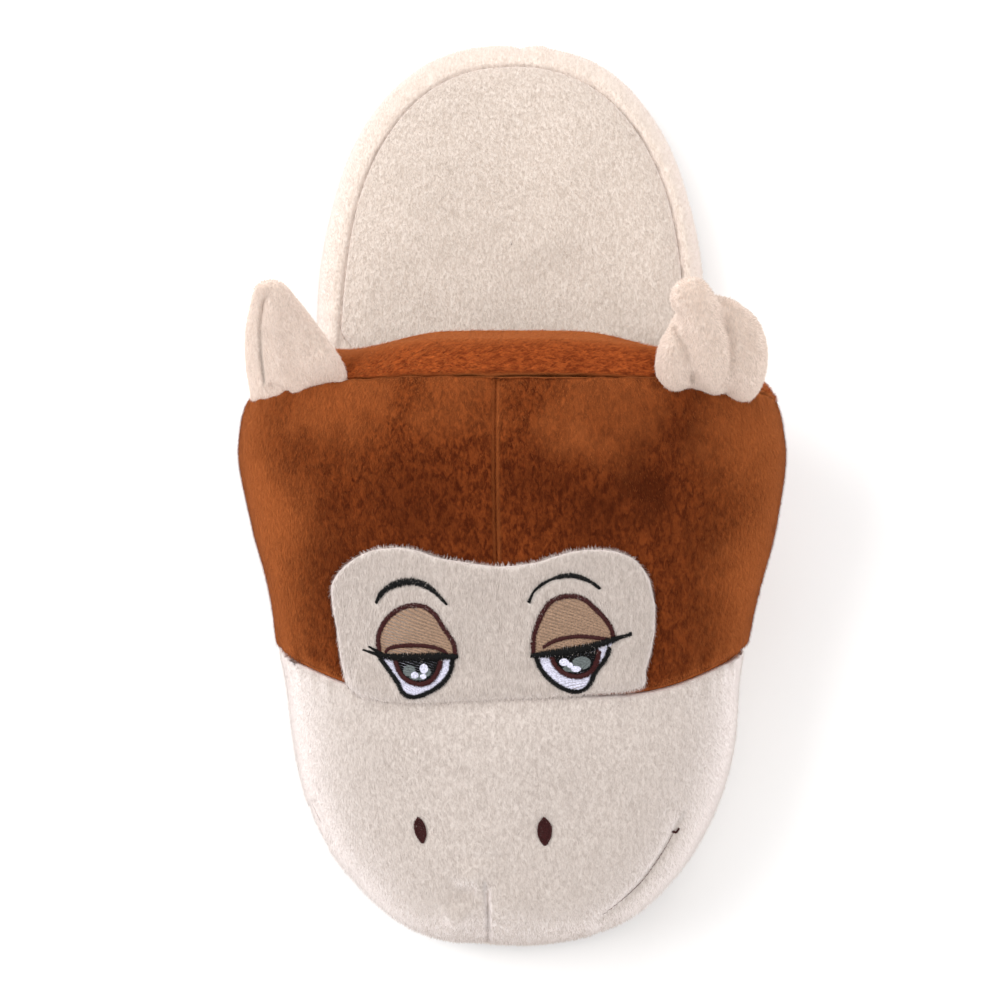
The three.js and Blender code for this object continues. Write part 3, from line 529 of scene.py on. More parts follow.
def zipped(a, b):
    """Faces between two lines of vertices that may differ in number."""
    faces, i, j = [], 0, 0
    while i < len(a) - 1 or j < len(b) - 1:
        if j == len(b) - 1 or (i < len(a) - 1 and (i + 1) * (len(b) - 1) <= (j + 1) * (len(a) - 1)):
            faces.append((a[i], a[i + 1], b[j], b[j]))
            i += 1
        else:
            faces.append((a[i], b[j + 1], b[j], b[j]))
            j += 1
    return np.array(faces)


def fan(ring, flip=False):
    """Closes a ring with triangles from its first vertex."""
    faces = np.array([(ring[0], ring[i], ring[i + 1], ring[i + 1]) for i in range(1, len(ring) - 1)])
    return faces[:, [2, 1, 0, 0]] if flip else faces


def mirrored_cap(first, count, flip=False):
    """Closes a ring that is the same on both sides by joining each vertex to its mirror image."""
    i = np.arange(count // 2)
    quads = np.stack([i, i + 1, count - i - 1, (count - i) % count], -1) + first
    return quads[:, ::-1] if flip else quads


def capped(rings):
    """Points and faces of a closed form from rings that are the same on both sides."""
    count = len(rings[0])
    faces = np.vstack([
        mirrored_cap(0, count, flip=True), grid_faces(0, len(rings), count, closed=True),
        mirrored_cap((len(rings) - 1) * count, count),
    ])
    return np.vstack(rings), faces


def normals_of(points, faces):
    """Outward direction at every point. Points in the same place share theirs."""
    a, b, c, d = (points[faces[:, i]] for i in range(4))
    normal = np.cross(c - a, d - b)
    _, same = np.unique(np.round(points * 1000).astype(np.int64), axis=0, return_inverse=True)
    same = same.ravel()
    summed = np.zeros((same.max() + 1, 3))
    for i in range(4):
        np.add.at(summed, same[faces[:, i]], normal)
    found = summed[same]
    return found / np.maximum(np.linalg.norm(found, axis=1, keepdims=True), 1e-12)


def pressed(points, faces, relief):
    """Points moved in or out by their own relief, in millimetres."""
    return points + normals_of(points, faces) * np.asarray(relief)[:, None]


def mesh_piece(name, points, faces, finishes, finish_of=None):
    """An object from points in millimetres, with its doubles merged."""
    mesh = bpy.data.meshes.new(name)
    mesh.from_pydata((points * MM).tolist(), [], [list(dict.fromkeys(f)) for f in faces.tolist()])
    for material in finishes:
        mesh.materials.append(material)
    if finish_of is not None:
        mesh.polygons.foreach_set("material_index", np.asarray(finish_of, np.int32))
    form = bmesh.new()
    form.from_mesh(mesh)
    bmesh.ops.remove_doubles(form, verts=form.verts, dist=2e-6)
    bmesh.ops.dissolve_degenerate(form, edges=form.edges, dist=1e-7)
    form.to_mesh(mesh)
    form.free()
    mesh.shade_smooth()
    piece = bpy.data.objects.new(name, mesh)
    bpy.context.scene.collection.objects.link(piece)
    return piece


def coordinates(mesh):
    found = np.empty(len(mesh.vertices) * 3)
    mesh.vertices.foreach_get("co", found)
    return found.reshape(-1, 3) / MM


def set_coordinates(mesh, points):
    mesh.vertices.foreach_set("co", (points * MM).ravel())
    mesh.update()


def vertex_normals(mesh):
    found = np.empty(len(mesh.vertices) * 3, np.float32)
    mesh.vertex_normals.foreach_get("vector", found)
    return found.reshape(-1, 3).astype(float)


def finished(piece):
    """The piece's mesh with its modifiers applied and removed."""
    graph = bpy.context.evaluated_depsgraph_get()
    made = bpy.data.meshes.new_from_object(piece.evaluated_get(graph))
    piece.modifiers.clear()
    piece.data = made
    made.shade_smooth()
    return piece


def remeshed(piece, voxel):
    piece.modifiers.new("Even", "REMESH").mode = "VOXEL"
    piece.modifiers["Even"].voxel_size = voxel * MM
    return finished(piece)


def stuffed(piece, voxel, start_inside, limit, pressure, levels=1):
    """Fills a closed piece: a mesh a little too small is blown up as cloth, and no point moves past a limit."""
    if voxel:
        remeshed(piece, voxel)
    mesh = piece.data
    start = coordinates(mesh)
    set_coordinates(mesh, start - vertex_normals(mesh) * start_inside)
    small = coordinates(mesh)
    cloth = piece.modifiers.new("Fill", "CLOTH")
    for key, value in CLOTH.items():
        setattr(cloth.settings, key, value)
    cloth.settings.uniform_pressure_force = pressure
    cloth.settings.effector_weights.gravity = 0
    cloth.point_cache.frame_start, cloth.point_cache.frame_end = 1, CLOTH_FRAMES
    scene = bpy.context.scene
    for number in range(1, CLOTH_FRAMES + 1):
        scene.frame_set(number)
    graph = bpy.context.evaluated_depsgraph_get()
    blown = coordinates(piece.evaluated_get(graph).data)
    piece.modifiers.remove(cloth)
    scene.frame_set(1)
    moved = blown - small
    far = np.linalg.norm(moved, axis=1, keepdims=True)
    set_coordinates(mesh, small + moved * np.minimum(1, limit / np.maximum(far, 1e-9)))
    piece.modifiers.new("Fine", "SUBSURF").levels = levels
    piece.modifiers["Fine"].render_levels = levels
    return finished(piece)


# Folds, seams and puckers


def beside(points, path):
    """How far each point lies from a path, and the share of the path at which it does."""
    path = np.array(path, float)
    p = points[:, : path.shape[1]]
    lengths = np.linalg.norm(np.diff(path, axis=0), axis=1)
    walked = np.concatenate([[0], np.cumsum(lengths)])
    best, share = np.full(len(p), 1e9), np.zeros(len(p))
    for i, length in enumerate(lengths):
        step = path[i + 1] - path[i]
        u = np.clip((p - path[i]) @ step / length**2, 0, 1)
        far = np.linalg.norm(p - path[i] - u[:, None] * step, axis=1)
        closer = far < best
        best = np.where(closer, far, best)
        share = np.where(closer, (walked[i] + u * length) / walked[-1], share)
    return best, share


def trough(points, path, width, depth, fade=0.2):
    """A soft fold along a path, fading at its ends. A negative depth makes a ridge."""
    far, share = beside(points, path)
    ends = smooth(share / fade) * smooth((1 - share) / fade) if fade else 1.0
    return -depth * bell(far, width) * ends


def dent(points, centre, radius, depth):
    """A soft round hollow. A negative depth makes a lump."""
    centre = np.array(centre, float)
    far = np.linalg.norm(points[:, : len(centre)] - centre, axis=1)
    return -depth * bell(far, radius)


def folded(points, folds, hollows=()):
    """The relief of a piece's folds and hollows together."""
    return sum(trough(points, *fold) for fold in folds) + sum(dent(points, *hollow) for hollow in hollows)


def rolled_edge(far, width, depth):
    """A sewn edge that rolls down into its seam."""
    a = 1 - np.clip(far / width, 0, 1)
    return -depth * (1 - np.sqrt(np.maximum(0, 1 - a * a)))


def gathers(along, far, pitch, reach, height):
    """Small puckers that stand across a seam and die out beside it."""
    wave = np.sin(2 * math.pi * along / pitch) + 0.6 * np.sin(2 * math.pi * along / (pitch * 1.7) + 1.3)
    return height * wave * bell(far, reach)


def lumps(points, size, height, phase):
    """Uneven stuffing: a few long waves that cross each other."""
    p = points / size
    return height * (
        np.sin(p[:, 0] * 1.3 + p[:, 1] * 0.7 + phase) * np.sin(p[:, 1] * 1.1 - p[:, 2] * 0.9 + 2.1 * phase)
        + 0.5 * np.sin(p[:, 0] * 2.3 - p[:, 1] * 1.9 + p[:, 2] + 0.6 * phase)
    )


def on_head(path, height=0.0):
    """A path seen from above, laid on the head or that far over it."""
    x, y = np.array(path, float).T
    return crown_point(x, y, np.full(len(x), height))


def within(points, ring):
    """Which points lie inside a ring, seen from above."""
    ring = np.array(ring, float)
    x, y = points[:, 0], points[:, 1]
    inside = np.zeros(len(points), bool)
    for (x0, y0), (x1, y1) in zip(ring, np.roll(ring, -1, axis=0)):
        crossed = (y0 > y) != (y1 > y)
        inside ^= crossed & (x < (x1 - x0) * (y - y0) / (y1 - y0 if y1 != y0 else 1) + x0)
    return inside


def marked(mesh, seams, sewn, kept):
    """Writes the painted shade of a mesh's seams as its fold attribute, and how much pile covers each place."""
    points, normals = coordinates(mesh), vertex_normals(mesh)
    fold, cover = np.zeros(len(points)), (normals[:, 2] > -0.6).astype(float)
    # Each seam: path, how wide it is bare of pile, and the width and strength of its painted shade
    for path, bare, width, strength in seams:
        far, _ = beside(points, path)
        fold = np.maximum(fold, strength * bell(far, width))
        cover *= smooth((far - bare) / bare + 0.5) if bare else 1
    for ring in sewn:
        cover *= ~(within(points, ring) & (normals[:, 2] > 0.2))
    if kept:
        cover *= kept(points)
    for name, values in (("fold", fold), ("cover", cover)):
        mesh.attributes.new(name, "FLOAT", "POINT").data.foreach_set("value", values.astype(np.float32))


# Finishes


class Nodes:
    """A node tree under construction."""

    def add(self, kind, settings=None, values=None):
        """A node of that type, its settings first and then the values or links of its sockets."""
        node = self.tree.nodes.new(kind)
        for key, value in (settings or {}).items():
            setattr(node, key, value)
        for key, value in (values or {}).items():
            value = value.socket if isinstance(value, Wire) else value
            if isinstance(value, bpy.types.NodeSocket):
                self.tree.links.new(value, node.inputs[key])
            else:
                node.inputs[key].default_value = value
        return node


class Wire:
    """A socket in a material. Arithmetic on it adds Math nodes."""

    def __init__(self, finish, socket):
        self.finish, self.socket = finish, socket

    def _math(self, operation, *values):
        node = self.finish.add("ShaderNodeMath", {"operation": operation}, dict(enumerate(values)))
        return Wire(self.finish, node.outputs[0])

    def __add__(self, other):
        return self._math("ADD", self, other)

    def __sub__(self, other):
        return self._math("SUBTRACT", self, other)

    def __rsub__(self, other):
        return self._math("SUBTRACT", other, self)

    def __mul__(self, other):
        return self._math("MULTIPLY", self, other)

    __radd__, __rmul__ = __add__, __mul__


class Finish(Nodes):
    """A material under construction."""

    def __init__(self, name, roughness, **constants):
        self.material = bpy.data.materials.new(name)
        self.material.use_nodes = True
        self.tree = self.material.node_tree
        self.tree.nodes.clear()
        self.shader = self.add("ShaderNodeBsdfPrincipled", {}, {"Roughness": roughness, **constants})
        out = self.add("ShaderNodeOutputMaterial")
        self.tree.links.new(self.shader.outputs[0], out.inputs[0])
        self.place = self.add("ShaderNodeTexCoord").outputs["Object"]

    def stretched(self, scale):
        """The object's own coordinates, scaled by axis."""
        return self.add("ShaderNodeMapping", {}, {"Vector": self.place, "Scale": scale}).outputs[0]

    def noise(self, vector, scale, detail=2.0, distortion=0.0):
        values = {"Vector": vector, "Scale": scale, "Detail": detail, "Distortion": distortion}
        return Wire(self, self.add("ShaderNodeTexNoise", {}, values).outputs[0])

    def blend(self, factor, a, b):
        """One colour into another."""
        a, b = (c if isinstance(c, bpy.types.NodeSocket) else (*c, 1) for c in (a, b))
        return self.add("ShaderNodeMix", {"data_type": "RGBA"}, {0: factor, 6: a, 7: b}).outputs[2]

    def between(self, value, low, high):
        """A value spread so that low becomes 0 and high becomes 1."""
        values = {0: value, 1: low, 2: high, 3: 0.0, 4: 1.0}
        return Wire(self, self.add("ShaderNodeMapRange", {"interpolation_type": "SMOOTHSTEP"}, values).outputs[0])

    def patch(self, centre, radius, amount):
        """A ragged patch of that strength round a centre."""
        values = {0: self.place, 1: tuple(c * MM for c in centre)}
        far = self.add("ShaderNodeVectorMath", {"operation": "DISTANCE"}, values).outputs["Value"]
        ragged = Wire(self, far) + (self.noise(self.place, 120.0, 3.0) - 0.5) * (1.1 * radius * MM)
        return self.between(ragged, radius * MM, 0.2 * radius * MM) * amount

    def bump(self, height, strength, distance):
        """Raises the surface by that height, in metres at most."""
        values = {"Strength": strength, "Distance": distance, "Height": height}
        self.tree.links.new(self.add("ShaderNodeBump", {}, values).outputs[0], self.shader.inputs["Normal"])

    def set(self, name, value):
        self.tree.links.new(value.socket if isinstance(value, Wire) else value, self.shader.inputs[name])


def tinted(colour, factor):
    return tuple(min(1.0, c * factor) for c in colour)


def plush(name, colour, shade, painted_sheen, glow, sheen, nap=(1150.0, 480.0, 900.0), rub=0.5, nap_shade_patches=(), sheen_patches=(), toe=None):
    """Short-pile plush: fine streaks along the nap, clouds of rubbing, darker patches of painted nap shade, painted
    shade in its seams, and a painted sheen that makes its slopes paler.
    """
    f = Finish(name, 0.95, **{
        "Sheen Weight": sheen, "Sheen Roughness": 0.4, "Sheen Tint": (*glow, 1), "Specular IOR Level": 0.05,
    })
    streaks = f.noise(f.stretched(nap), 1.0, 2.0, 0.8)
    fine = f.noise(f.stretched(tuple(2.3 * n for n in nap)), 1.0, 2.0)
    clouds = f.noise(f.stretched((34.0, 22.0, 28.0)), 1.0, 3.0, 0.5)
    pile = f.between(streaks * 0.6 + fine * 0.4, 0.35, 0.65)
    rubbed_and_nap_shade = f.between(clouds, 0.3, 0.7) * rub
    # Patches of painted shade where the nap is brushed the other way
    for place in nap_shade_patches:
        rubbed_and_nap_shade = rubbed_and_nap_shade + f.patch(*place)
    # Painted shade in the seams, from the fold attribute
    fold = Wire(f, f.add("ShaderNodeAttribute", {"attribute_name": "fold"}).outputs["Fac"])
    # Painted sheen: paler where the plush slopes away from straight up, less so on its steepest sides and undersides,
    # paler too in the sheen patches
    facing = f.add("ShaderNodeSeparateXYZ", {}, {0: f.add("ShaderNodeNewGeometry").outputs["Normal"]}).outputs[2]
    upward = Wire(f, facing) + (fine - 0.5) * 0.3
    slope = f.between(upward, 0.98, 0.4) - f.between(upward, 0.5, 0.05) * 0.6
    for place in sheen_patches:
        slope = slope + f.patch(*place)
    lit = f.blend(pile, shade, colour)
    if toe:
        ahead = f.between(f.add("ShaderNodeSeparateXYZ", {}, {0: f.place}).outputs[1], -0.02, -0.1)
        lit, painted_sheen = f.blend(ahead, lit, toe), f.blend(ahead, painted_sheen, toe)
    worn_and_shaded = f.blend(rubbed_and_nap_shade, lit, tinted(shade, 0.78))
    # Seams take painted shade, slopes the painted sheen colour
    f.set("Base Color", f.blend(fold * 0.85, f.blend(slope, worn_and_shaded, painted_sheen), tinted(shade, 0.3)))
    f.bump(streaks * 0.6 + fine * 0.4, 0.4, 0.0006)
    return f.material


def satin(name, colour, roughness=0.45, gloss=0.3):
    """Embroidery thread: a low gloss, each strand a little lighter or darker."""
    f = Finish(name, roughness, **{"Specular IOR Level": gloss})
    strand = f.noise(f.stretched((2600.0, 2600.0, 2600.0)), 1.0, 2.0)
    f.set("Base Color", f.blend(f.between(strand, 0.35, 0.65), tinted(colour, 0.7), tinted(colour, 1.15)))
    f.bump(strand, 0.25, 0.0001)
    return f.material


def sole_cloth(name, colour):
    """Dark woven cloth with a little lint."""
    f = Finish(name, 0.88, **{"Sheen Weight": 0.2, "Specular IOR Level": 0.25})
    warp, weft = (
        Wire(f, f.add("ShaderNodeTexWave", {"bands_direction": way}, {"Vector": f.place, "Scale": 330.0}).outputs[1])
        for way in "XY"
    )
    lint = f.noise(f.place, 900.0, 3.0)
    weave = warp * weft + lint * 0.3
    f.set("Base Color", f.blend(f.between(weave, 0.1, 0.9), tinted(colour, 0.7), tinted(colour, 1.35)))
    f.bump(weave, 0.5, 0.0004)
    return f.material


def rubber(name, colour):
    f = Finish(name, 0.6, **{"Specular IOR Level": 0.4})
    grain = f.noise(f.place, 1400.0, 3.0)
    f.set("Base Color", f.blend(grain, tinted(colour, 0.85), tinted(colour, 1.2)))
    f.set("Roughness", f.between(grain, 0.2, 0.8) * 0.2 + 0.5)
    f.bump(grain, 0.2, 0.0001)
    return f.material


# Repeated pieces, made by Geometry Nodes


class Tree(Nodes):
    """A Geometry Nodes tree under construction, with named inputs."""

    def __init__(self, name, inputs):
        self.tree = bpy.data.node_groups.new(name, "GeometryNodeTree")
        self.sockets = {}
        for label, kind, default in inputs:
            item = self.tree.interface.new_socket(label, in_out="INPUT", socket_type=kind)
            if default is not None:
                item.default_value = default
            self.sockets[label] = item.identifier
        self.tree.interface.new_socket("Geometry", in_out="OUTPUT", socket_type="NodeSocketGeometry")
        self.given = self.tree.nodes.new("NodeGroupInput").outputs

    def turned(self, along, facing):
        """The rotation that lays X along one direction and then turns Z towards another."""
        laid = self.add("FunctionNodeAlignRotationToVector", {"axis": "X"}, {"Vector": along}).outputs[0]
        return self.add("FunctionNodeAlignRotationToVector", {"axis": "Z", "pivot_axis": "X"}, {
            "Rotation": laid, "Vector": facing,
        }).outputs[0]

    def end(self, points, instance, values):
        """Sets an instance on each point, realises them, gives them the material and closes the tree."""
        spread = self.add("GeometryNodeInstanceOnPoints", {}, {"Points": points, "Instance": instance, **values})
        real = self.add("GeometryNodeRealizeInstances", {}, {"Geometry": spread.outputs[0]})
        coated = self.add("GeometryNodeSetMaterial", {}, {
            "Geometry": real.outputs[0], "Material": self.given["Material"],
        })
        self.add("NodeGroupOutput", {}, {0: coated.outputs[0]})
        return self

    def run(self, name, source, values):
        """A plain mesh piece: what the tree makes of a source mesh."""
        holder = bpy.data.objects.new(name, source)
        bpy.context.scene.collection.objects.link(holder)
        modifier = holder.modifiers.new("Make", "NODES")
        modifier.node_group = self.tree
        for label, value in values.items():
            modifier[self.sockets[label]] = value
        return finished(holder)


def pile_tree():
    """Short fibres that lie along a nap on a surface."""
    tree = Tree("Pile", (
        ("Geometry", "NodeSocketGeometry", None), ("Density", "NodeSocketFloat", 4e6),
        ("Length", "NodeSocketFloat", 0.0016), ("Width", "NodeSocketFloat", 0.0002),
        ("Nap", "NodeSocketVector", (0, -1, 0)), ("Lift", "NodeSocketFloat", 0.5),
        ("Scatter", "NodeSocketFloat", 0.5), ("Seed", "NodeSocketInt", 1), ("Material", "NodeSocketMaterial", None),
    ))
    g = tree.given
    roots = tree.add("GeometryNodeDistributePointsOnFaces", {}, {
        "Mesh": g["Geometry"], "Seed": g["Seed"],
        "Density": tree.add("ShaderNodeMath", {"operation": "MULTIPLY"}, {
            0: g["Density"],
            1: tree.add("GeometryNodeInputNamedAttribute", {"data_type": "FLOAT"}, {"Name": "cover"}).outputs[0],
        }).outputs[0],
    })
    normal = roots.outputs["Normal"]

    def vector(operation, values, output=0):
        return tree.add("ShaderNodeVectorMath", {"operation": operation}, values).outputs[output]

    off = vector("DOT_PRODUCT", {0: g["Nap"], 1: normal}, "Value")
    flat = vector("SUBTRACT", {0: g["Nap"], 1: vector("SCALE", {0: normal, "Scale": off})})
    stray = tree.add("FunctionNodeRandomValue", {"data_type": "FLOAT_VECTOR"}, {
        0: (-1, -1, -1), 1: (1, 1, 1), "Seed": g["Seed"],
    }).outputs[0]
    way = vector("ADD", {0: flat, 1: vector("SCALE", {0: normal, "Scale": g["Lift"]})})
    way = vector("ADD", {0: way, 1: vector("SCALE", {0: stray, "Scale": g["Scatter"]})})
    ring = tree.add("GeometryNodeMeshCircle", {"fill_type": "NGON"}, {"Vertices": 3, "Radius": 1.0}).outputs[0]
    blade = tree.add("GeometryNodeTransform", {}, {0: ring, "Translation": (0.5, 0, 0)}).outputs[0]
    blade = tree.add("GeometryNodeTransform", {}, {0: blade, "Scale": (2 / 3, 0.577, 1)}).outputs[0]
    grown = tree.add("FunctionNodeRandomValue", {"data_type": "FLOAT"}, {
        2: 0.6, 3: 1.25, "Seed": g["Seed"],
    }).outputs[1]
    long = tree.add("ShaderNodeMath", {"operation": "MULTIPLY"}, {0: grown, 1: g["Length"]}).outputs[0]
    size = tree.add("ShaderNodeCombineXYZ", {}, {0: long, 1: g["Width"], 2: 1.0}).outputs[0]
    return tree.end(roots.outputs["Points"], blade, {"Rotation": tree.turned(way, normal), "Scale": size})


def stitch_tree():
    """Rounded stitches, each laid along its own direction and facing its own way."""
    tree = Tree("Stitches", (("Geometry", "NodeSocketGeometry", None), ("Material", "NodeSocketMaterial", None)))

    def named(name):
        return tree.add("GeometryNodeInputNamedAttribute", {"data_type": "FLOAT_VECTOR"}, {"Name": name}).outputs[0]

    bead = tree.add("GeometryNodeMeshUVSphere", {}, {"Segments": 6, "Rings": 4, "Radius": 0.5}).outputs[0]
    bead = tree.add("GeometryNodeTransform", {}, {0: bead, "Rotation": (0, math.pi / 2, 0)}).outputs[0]
    bead = tree.add("GeometryNodeSetShadeSmooth", {}, {0: bead}).outputs[0]
    turned = tree.turned(named("along"), named("facing"))
    return tree.end(tree.given["Geometry"], bead, {"Rotation": turned, "Scale": named("size")})


def dot_tree():
    """Flattened grip dots on the points that it is given."""
    tree = Tree("Grip Dots", (
        ("Geometry", "NodeSocketGeometry", None), ("Radius", "NodeSocketFloat", 0.0012),
        ("Height", "NodeSocketFloat", 0.0006), ("Material", "NodeSocketMaterial", None),
    ))
    drum = tree.add("GeometryNodeMeshCone", {}, {
        "Vertices": 10, "Radius Top": 0.75, "Radius Bottom": 1.0, "Depth": 1.0,
    }).outputs[0]
    drum = tree.add("GeometryNodeTransform", {}, {0: drum, "Rotation": (math.pi, 0, 0)}).outputs[0]
    size = tree.add("ShaderNodeCombineXYZ", {}, {
        0: tree.given["Radius"], 1: tree.given["Radius"], 2: tree.given["Height"],
    }).outputs[0]
    return tree.end(tree.given["Geometry"], drum, {"Scale": size})


def spread_map(mesh):
    """Gives each fibre its own cell of a map, so that neighbours on the plush are neighbours on the map."""
    count = len(mesh.polygons)
    centre = np.empty(count * 3)
    mesh.polygons.foreach_get("center", centre)
    centre = centre.reshape(-1, 3)
    side = math.ceil(math.sqrt(count))
    order = np.argsort(centre[:, 0], kind="stable")
    column = np.empty(count, int)
    column[order] = np.arange(count) // side
    order = np.lexsort((centre[:, 1], column))
    row = np.empty(count, int)
    row[order] = np.arange(count) - column[order] * side
    corner = np.array(((0.1, 0.1), (0.9, 0.1), (0.1, 0.9)))
    cell = np.stack([column, row], -1)[:, None, :] + corner[None]
    mesh.uv_layers.new(name="OFBake", do_init=False).uv.foreach_set("vector", (cell / side).ravel())


# Settings


def length_property(name, description, default, low, high):
    return bpy.props.FloatProperty(
        name=name, description=description, default=default, min=low, max=high, unit="LENGTH")


class SlipperSizes(bpy.types.PropertyGroup):
    pile_length: length_property("Pile Length", "Length of the plush fibres", 0.001, 0.0005, 0.006)
    pile_width: length_property("Pile Width", "Width of a fibre at its root", 0.00018, 0.0001, 0.001)
    seam_depth: length_property("Seam Depth", "How deep the plush rolls into its seams", 0.0013, 0, 0.004)
    thread_width: length_property("Thread Width", "Width of one embroidery stitch", 0.0004, 0.0002, 0.001)
    dot_radius: length_property("Dot Radius", "Radius of the grip dots under the sole", 0.0012, 0.0005, 0.004)
    dot_spacing: length_property("Dot Spacing", "Distance between grip dots", 0.006, 0.003, 0.02)


def colour_property(name, description, default):
    return bpy.props.FloatVectorProperty(
        name=name, description=description, default=default, min=0, max=1, size=3, subtype="COLOR")


class SlipperColours(bpy.types.PropertyGroup):
    cream: colour_property("Cream", "Cream plush of the face, lit", (0.65, 0.58, 0.535))
    cream_shade: colour_property("Cream Shade", "Cream plush of the face between its tufts", (0.5, 0.435, 0.395))
    warm: colour_property("Warm Cream", "Cream plush of the sole and ears, lit", (0.71, 0.625, 0.56))
    warm_shade: colour_property("Warm Cream Shade", "Cream plush of the sole between its tufts", (0.56, 0.475, 0.41))
    brown: colour_property("Brown", "Brown plush, lit", (0.235, 0.052, 0.0115))
    brown_shade: colour_property("Brown Shade", "Brown plush between its tufts", (0.07, 0.0115, 0.0028))
    # The slope colours are painted sheen: the plush painted paler where it turns away from straight up
    cream_painted_sheen: colour_property("Cream Slope", "Cream plush where it slopes away", (0.9, 0.825, 0.8))
    warm_painted_sheen: colour_property("Warm Cream Slope", "Warm cream plush where it slopes away", (0.83, 0.73, 0.675))
    ear: colour_property("Ear", "Plush of the ears, lit", (0.72, 0.585, 0.5))
    # Painted sheen colour of the ears' slopes
    ear_painted_sheen: colour_property("Ear Slope", "Ears' plush where it slopes away", (0.85, 0.715, 0.63))
    # Painted sheen colour of the brown plush's slopes
    brown_painted_sheen: colour_property("Brown Slope", "Brown plush where it slopes away", (0.39, 0.108, 0.029))
    sole: colour_property("Sole", "Cloth under the sole", (0.05, 0.047, 0.045))
    black: colour_property("Black Thread", "Lashes, brows and outlines", (0.004, 0.004, 0.004))
    maroon: colour_property("Maroon Thread", "Lids' edges and nostrils", (0.04, 0.007, 0.007))
    lid: colour_property("Lid Thread", "Eyelids", (0.33, 0.21, 0.14))
    white: colour_property("White Thread", "White of the eyes", (0.68, 0.67, 0.8))
    # Grey thread of the painted reflections on the irises
    painted_grey_glint: colour_property("Grey Thread", "Grey glint in the eyes", (0.13, 0.15, 0.15))
    mouth: colour_property("Mouth Thread", "The mouth's line, half sunk in the pile", (0.22, 0.15, 0.14))


FINISHES = {}


def finish(name):
    """A finish by its name, made once from the colours."""
    if name not in FINISHES:
        c = bpy.context.scene.slipper_colours
        makers = {
            "cream": lambda: plush("Cream Plush", c.cream, c.cream_shade, c.cream_painted_sheen, (1, 0.96, 0.95), 0.4, rub=0.1),
            "warm": lambda: plush("Warm Plush", c.warm, c.warm_shade, c.warm_painted_sheen, (1, 0.93, 0.88), 0.35, rub=0.15),
            # The band: the warm plush painted lighter, as painted light on the band, turning cream towards the toe
            "band": lambda: plush("Band Plush", tinted(c.warm, 1.13), tinted(c.warm_shade, 1.18), c.warm_painted_sheen,
                                  (1, 0.93, 0.9), 0.4, rub=0.1, toe=tinted(c.cream, 1.15)),
            "ear": lambda: plush("Ear Plush", c.ear, tinted(c.ear, 0.78), c.ear_painted_sheen, (1, 0.9, 0.82), 0.35, rub=0.15),
            "brown": lambda: plush("Brown Plush", c.brown, c.brown_shade, c.brown_painted_sheen, (0.85, 0.3, 0.1), 0.3,
                                   nap=(640.0, 340.0, 560.0), rub=0.35, nap_shade_patches=NAP_SHADE_PATCHES, sheen_patches=NAP_SHEEN_PATCHES),
            # The collar facing: the brown plush painted lighter as painted light, with its nap running across
            "brown_across_lit": lambda: plush("Brown Facing", tinted(c.brown, 1.8), tinted(c.brown_shade, 2.3),
                                          tinted(c.brown_painted_sheen, 1.1), (0.9, 0.34, 0.12), 0.45,
                                          nap=(480.0, 1150.0, 1000.0), rub=0.3),
            "sole": lambda: sole_cloth("Sole Cloth", c.sole),
            "dots": lambda: rubber("Grip Dots", c.sole),
            "black": lambda: satin("Black Thread", c.black, 0.5, 0.1),
            "maroon": lambda: satin("Maroon Thread", c.maroon, 0.5, 0.15),
            "lid": lambda: satin("Lid Thread", c.lid),
            "white": lambda: satin("White Thread", c.white),
            "painted_grey_glint": lambda: satin("Grey Thread", c.painted_grey_glint, 0.3),
            "smile": lambda: satin("Mouth Thread", c.mouth),
        }
        FINISHES[name] = makers[name]()
    return FINISHES[name]


def mounted(piece, node):
    """Rides on the slipper's one body; where it stands for a node, that node is hidden."""
    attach(piece, "root")
    if node:
        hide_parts(node)
    return piece


def grow_pile(piece, name, finish_name, nap, density, seed, seams=(), source=None, sewn=(), kept=None,
              longer=1.0):
    """Covers a piece with short fibres, which thin out in its seams and under embroidery, and marks the painted shade
    of its seams.
    """
    sizes = bpy.context.scene.slipper_sizes
    marked(piece.data, seams, sewn, kept)
    skin = (source or piece.data).copy()
    if source:
        marked(skin, seams, sewn, kept)
    made = PILE.run(name, skin, {
        "Density": density * 1e6, "Length": sizes.pile_length * longer, "Width": sizes.pile_width, "Nap": nap,
        "Lift": 0.45, "Scatter": 0.38, "Seed": seed, "Material": finish(finish_name),
    })
    spread_map(made.data)
    return mounted(made, None)


def shell(outer, inner):
    """Points and faces of a shell between an outer and an inner grid, closed at its first row and both feet."""
    columns = outer.shape[1]
    points = np.vstack([outer.reshape(-1, 3), inner.reshape(-1, 3)])
    second = outer.shape[0] * columns
    first_out, first_in = np.arange(columns), np.arange(columns) + second
    last = columns - 1

    def foot(start, rows, column):
        return np.arange(rows) * columns + start + column

    skins = [grid_faces(0, outer.shape[0], columns, flip=True), grid_faces(second, inner.shape[0], columns)]
    joins = [
        zipped(first_out, first_in),
        zipped(foot(second, inner.shape[0], 0), foot(0, outer.shape[0], 0)),
        zipped(foot(0, outer.shape[0], last), foot(second, inner.shape[0], last)),
    ]
    return points, np.vstack(skins + joins), len(skins[0])


# Operators


